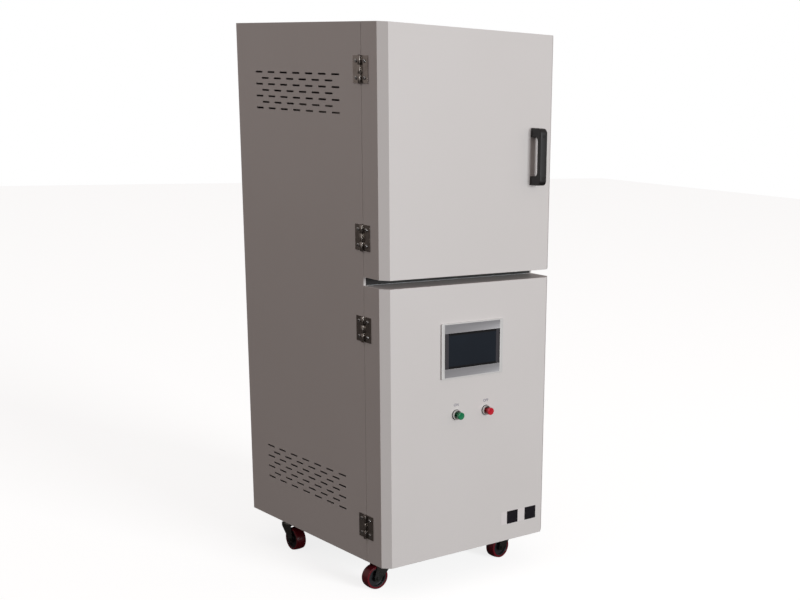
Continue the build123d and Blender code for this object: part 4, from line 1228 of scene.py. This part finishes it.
@dataclass
class PushButton:
    """A 22 mm push button: a rubber collar, a chromed ring and a coloured cap with a shallow dish."""

    body: str
    cap_finish: Finish
    caption: str
    collar_radius: float = 15.5 * MM
    collar: float = 2 * MM
    ring_radius: float = 14.5 * MM
    ring_front: float = 13.2 * MM
    ring_height: float = 9 * MM
    bore: float = 11.6 * MM
    bore_depth: float = 8 * MM
    stem_hole: float = 6.4 * MM
    stem_radius: float = 6 * MM
    cap_back: float = 5.4 * MM
    caption_height: float = 8 * MM
    caption_gap: float = 26 * MM
    ink: float = 0.05 * MM
    # Height of a capital letter, as a share of the font's size
    capital: float = 0.7

    def build(self, stands_for: str | None) -> list[Piece]:
        """Models the collar, the ring and the cap, and prints the caption above them.

        Args:
            stands_for: The node that the ring stands for, or None if another ring does already.

        Returns:
            The pieces.
        """
        low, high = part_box(self.body)
        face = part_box("lower_door_skin")[0].y
        centre = Vector(((low.x + high.x) / 2, face, (low.z + high.z) / 2))
        collar = turned(
            f"{self.body}_collar",
            [
                (self.ring_radius, 0), (self.collar_radius, 0), (self.collar_radius, 0.75 * self.collar),
                (self.collar_radius - 0.5 * MM, self.collar), (self.ring_radius, self.collar),
                (self.ring_radius, 0),
            ],
            centre, -Y, hollow=True,
        )
        dress(collar, BLACK_RUBBER)
        smooth(collar)
        fit(collar, Door.LOWER.value, "black_plastic")
        depth = self.ring_height - self.bore_depth
        ring = turned(
            f"{self.body}_ring",
            [
                (self.stem_hole, 0), (self.ring_radius - 0.05 * MM, 0),
                (self.ring_radius - 0.05 * MM, 0.5 * self.ring_height),
                (self.ring_front + 0.6 * MM, 0.86 * self.ring_height), (self.ring_front, self.ring_height),
                (self.bore + 0.5 * MM, self.ring_height), (self.bore, self.ring_height - 0.5 * MM),
                (self.bore, depth), (self.stem_hole, depth), (self.stem_hole, 0),
            ],
            centre, -Y, hollow=True,
        )
        dress(ring, CHROMED_BRASS)
        smooth(ring)
        fit(ring, Door.LOWER.value, "button_ring", *([stands_for] if stands_for else []))
        return [collar, ring, self.cap(low, high, centre), self.print_caption(centre)]

    def cap(self, low: Vector, high: Vector, centre: Vector) -> Piece:
        """The cap on its stem, with a rounded rim and a shallow dish.

        Args:
            low: The lowest corner of the button's node.
            high: Its highest corner.
            centre: The middle of the button, on the door's front face.

        Returns:
            The finished cap.
        """
        radius = (high.x - low.x) / 2
        reach = centre.y - low.y
        stem = [(self.stem_radius, centre.y - high.y), (self.stem_radius, self.cap_back)]
        rim = [
            (radius, self.cap_back), (radius, reach - 1.2 * MM), (radius - 0.35 * MM, reach - 0.4 * MM),
            (radius - 1.2 * MM, reach),
        ]
        dish = [
            (radius - 2.2 * MM, reach - 0.1 * MM), (radius / 2, reach - 0.5 * MM),
            (0.3 * MM, reach - 0.6 * MM),
        ]
        cap = turned(f"{self.body}_cap", stem + rim + dish, centre, -Y)
        dress(cap, self.cap_finish)
        smooth(cap, 50)
        slot = "green_cap" if self.cap_finish is GREEN_CAP else "red_cap"
        return fit(cap, self.body, slot, self.body)

    def print_caption(self, centre: Vector) -> Piece:
        """Prints the word above the button, a hair proud of the paint.

        Args:
            centre: The middle of the button, on the door's front face.

        Returns:
            The finished word.
        """
        bpy.ops.object.select_all(action="DESELECT")
        bpy.ops.object.text_add(
            location=(centre.x, centre.y - self.ink, centre.z + self.caption_gap),
            rotation=(math.pi / 2, 0, 0),
        )
        text = bpy.context.object
        text.data.body = self.caption
        text.data.size = self.caption_height / self.capital
        text.data.align_x = "CENTER"
        text.data.extrude = self.ink
        bpy.ops.object.convert(target="MESH")
        word = started(f"{self.body}_caption")
        dress(word, DARK_INK)
        return fit(word, Door.LOWER.value, "black_plastic")


@dataclass
class SmallPlate:
    """The small printed plate low on the right of the lower door: plain blocks, with no words."""

    left: float = 122 * MM
    right: float = 263 * MM
    low: float = 157.5 * MM
    high: float = 199 * MM
    thickness: float = 0.4 * MM
    corner: float = 1.5 * MM
    shares: tuple[float, ...] = (0.17, 0.48, 0.68)

    def build(self) -> Piece:
        """Cuts the plate into four blocks and prints the second and the last black.

        Returns:
            The finished plate.
        """
        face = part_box("lower_door_skin")[0].y
        low, high = (self.left, face - self.thickness, self.low), (self.right, face, self.high)
        plate = block("small_plate", low, high)
        round_edges(plate, lambda e: runs(e, Y), self.corner, 3)
        width = self.right - self.left
        cuts = [self.left + share * width for share in self.shares]
        for x in cuts:
            cut(plate, (x, 0, 0), X)
        dress(plate, FOIL_WHITE, FOIL_BLACK)
        paint(
            plate,
            1,
            lambda f: f.normal.y < -0.9 and (cuts[0] < f.center.x < cuts[1] or f.center.x > cuts[2]),
        )
        return fit(plate, Door.LOWER.value, "screen_glass")


# The scene round the object


@dataclass
class Studio:
    """A pale floor, one soft lamp, a dim sky and the camera at the photograph's angle."""

    camera_place: Point = (-2.373, -3.43512, 1.46329)
    camera_yaw: float = -0.785687
    camera_pitch: float = -0.277348
    camera_roll: float = 0.044328
    focal_px: float = 1314.739
    centre_px: tuple[float, float] = (628.993, 473.159)
    image: tuple[int, int] = (800, 600)
    ambient: float = 0.41
    ambient_tint: tuple[float, float, float, float] = (1.0, 0.89, 0.85, 1.0)
    floor_size: float = 30.0
    # How much of the floor that the camera sees is plain white, and how bright that white is
    floor_white_share: float = 0.62
    floor_white: float = 1.3
    lamp_place: Point = (1.1, -9.0, 2.0)
    lamp_aim: Point = (0, 0, 0.8)
    lamp_side: float = 3.0
    lamp_watts: float = 550
    lamp_colour: Point = (0.955, 0.985, 1.0)

    def build(self) -> None:
        """Sets up the floor, the light and the camera."""
        self.floor()
        self.sky()
        self.lamp()
        self.camera()
        view = bpy.context.scene.view_settings
        view.view_transform = "Standard"

    def floor(self) -> None:
        """A wide matt floor that shows almost white, with the object's soft shadow on it."""
        bpy.ops.object.select_all(action="DESELECT")
        bpy.ops.mesh.primitive_plane_add(size=self.floor_size, location=(0, 0, 0))
        floor = started("studio_floor")
        made = bpy.data.materials.new("studio_paper")
        made.use_nodes = True
        tree = made.node_tree
        tree.nodes.clear()
        path = add_node(tree, "ShaderNodeLightPath", {})
        tone = add_node(
            tree,
            "ShaderNodeMix",
            {"data_type": "RGBA", MIX_FIRST: linear("#6c6866"), MIX_SECOND: linear("#f2f2f2")},
            {MIX_SHARE: path.outputs["Is Camera Ray"]},
        )
        paper = add_node(
            tree, "ShaderNodeBsdfDiffuse", {"Roughness": 0.5}, {"Color": tone.outputs[MIXED_COLOUR]}
        )
        bright = add_node(
            tree, "ShaderNodeEmission", {"Color": (1, 1, 1, 1), "Strength": self.floor_white}
        )
        share = add_node(
            tree,
            "ShaderNodeMath",
            {"operation": "MULTIPLY", 1: self.floor_white_share},
            {0: path.outputs["Is Camera Ray"]},
        )
        mix = add_node(
            tree,
            "ShaderNodeMixShader",
            {},
            {0: share.outputs[0], 1: paper.outputs["BSDF"], 2: bright.outputs["Emission"]},
        )
        add_node(tree, "ShaderNodeOutputMaterial", {}, {"Surface": mix.outputs["Shader"]})
        floor.data.materials.append(made)

    def sky(self) -> None:
        """An even dim light from all sides, seen as white by the eye and through glass."""
        world = bpy.data.worlds.new("studio_sky")
        world.use_nodes = True
        tree = world.node_tree
        tree.nodes.clear()
        path = add_node(tree, "ShaderNodeLightPath", {})
        seen = add_node(
            tree,
            "ShaderNodeMath",
            {"operation": "MAXIMUM"},
            {0: path.outputs["Is Camera Ray"], 1: path.outputs["Is Transmission Ray"]},
        )
        level = add_node(
            tree,
            "ShaderNodeMapRange",
            {RANGE_LOW: self.ambient, RANGE_HIGH: 1.0},
            {RANGE_INPUT: seen.outputs[0]},
        )
        tone = add_node(
            tree,
            "ShaderNodeMix",
            {"data_type": "RGBA", MIX_FIRST: self.ambient_tint, MIX_SECOND: (1.0, 1.0, 1.0, 1.0)},
            {MIX_SHARE: seen.outputs[0]},
        )
        sky = add_node(
            tree,
            "ShaderNodeBackground",
            {},
            {"Color": tone.outputs[MIXED_COLOUR], "Strength": level.outputs[0]},
        )
        add_node(tree, "ShaderNodeOutputWorld", {}, {"Surface": sky.outputs["Background"]})
        bpy.context.scene.world = world

    def lamp(self) -> None:
        """Adds the square soft lamp, which looks at the middle of the cabinet."""
        data = bpy.data.lights.new("key", "AREA")
        data.shape = "SQUARE"
        data.size = self.lamp_side
        data.energy = self.lamp_watts
        data.color = self.lamp_colour
        lamp = bpy.data.objects.new("key", data)
        bpy.context.scene.collection.objects.link(lamp)
        lamp.location = self.lamp_place
        aim = Vector(self.lamp_aim) - Vector(self.lamp_place)
        lamp.rotation_euler = aim.to_track_quat("-Z", "Y").to_euler()

    def camera(self) -> None:
        """The camera where the photograph was taken from."""
        data = bpy.data.cameras.new("photograph")
        data.sensor_width = 36.0
        data.lens = self.focal_px / self.image[0] * data.sensor_width
        data.shift_x = (self.image[0] / 2 - self.centre_px[0]) / self.image[0]
        data.shift_y = (self.centre_px[1] - self.image[1] / 2) / self.image[0]
        camera = bpy.data.objects.new("photograph", data)
        bpy.context.scene.collection.objects.link(camera)
        turn = (
            Matrix.Rotation(self.camera_yaw, 4, "Z")
            @ Matrix.Rotation(math.pi / 2 + self.camera_pitch, 4, "X")
            @ Matrix.Rotation(self.camera_roll, 4, "Z")
        )
        camera.matrix_world = Matrix.Translation(self.camera_place) @ turn
        bpy.context.scene.camera = camera


def main() -> None:
    """Builds the furnace's looks and the studio."""
    logging.basicConfig(level=logging.INFO, format="%(message)s")
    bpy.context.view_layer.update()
    SheetMetal().build()
    for side in Side:
        VentedSide(side).build()
    for door in Door:
        HingeScrews(door).build()
    GapShadeStrip().build()
    BridgeHandle().build()
    TouchPanel().build()
    PushButton("start_button", GREEN_CAP, "ON").build("button_bezels")
    PushButton("stop_button", RED_CAP, "OFF").build(None)
    SmallPlate().build()
    Studio().build()


if __name__ == "__main__":
    main()
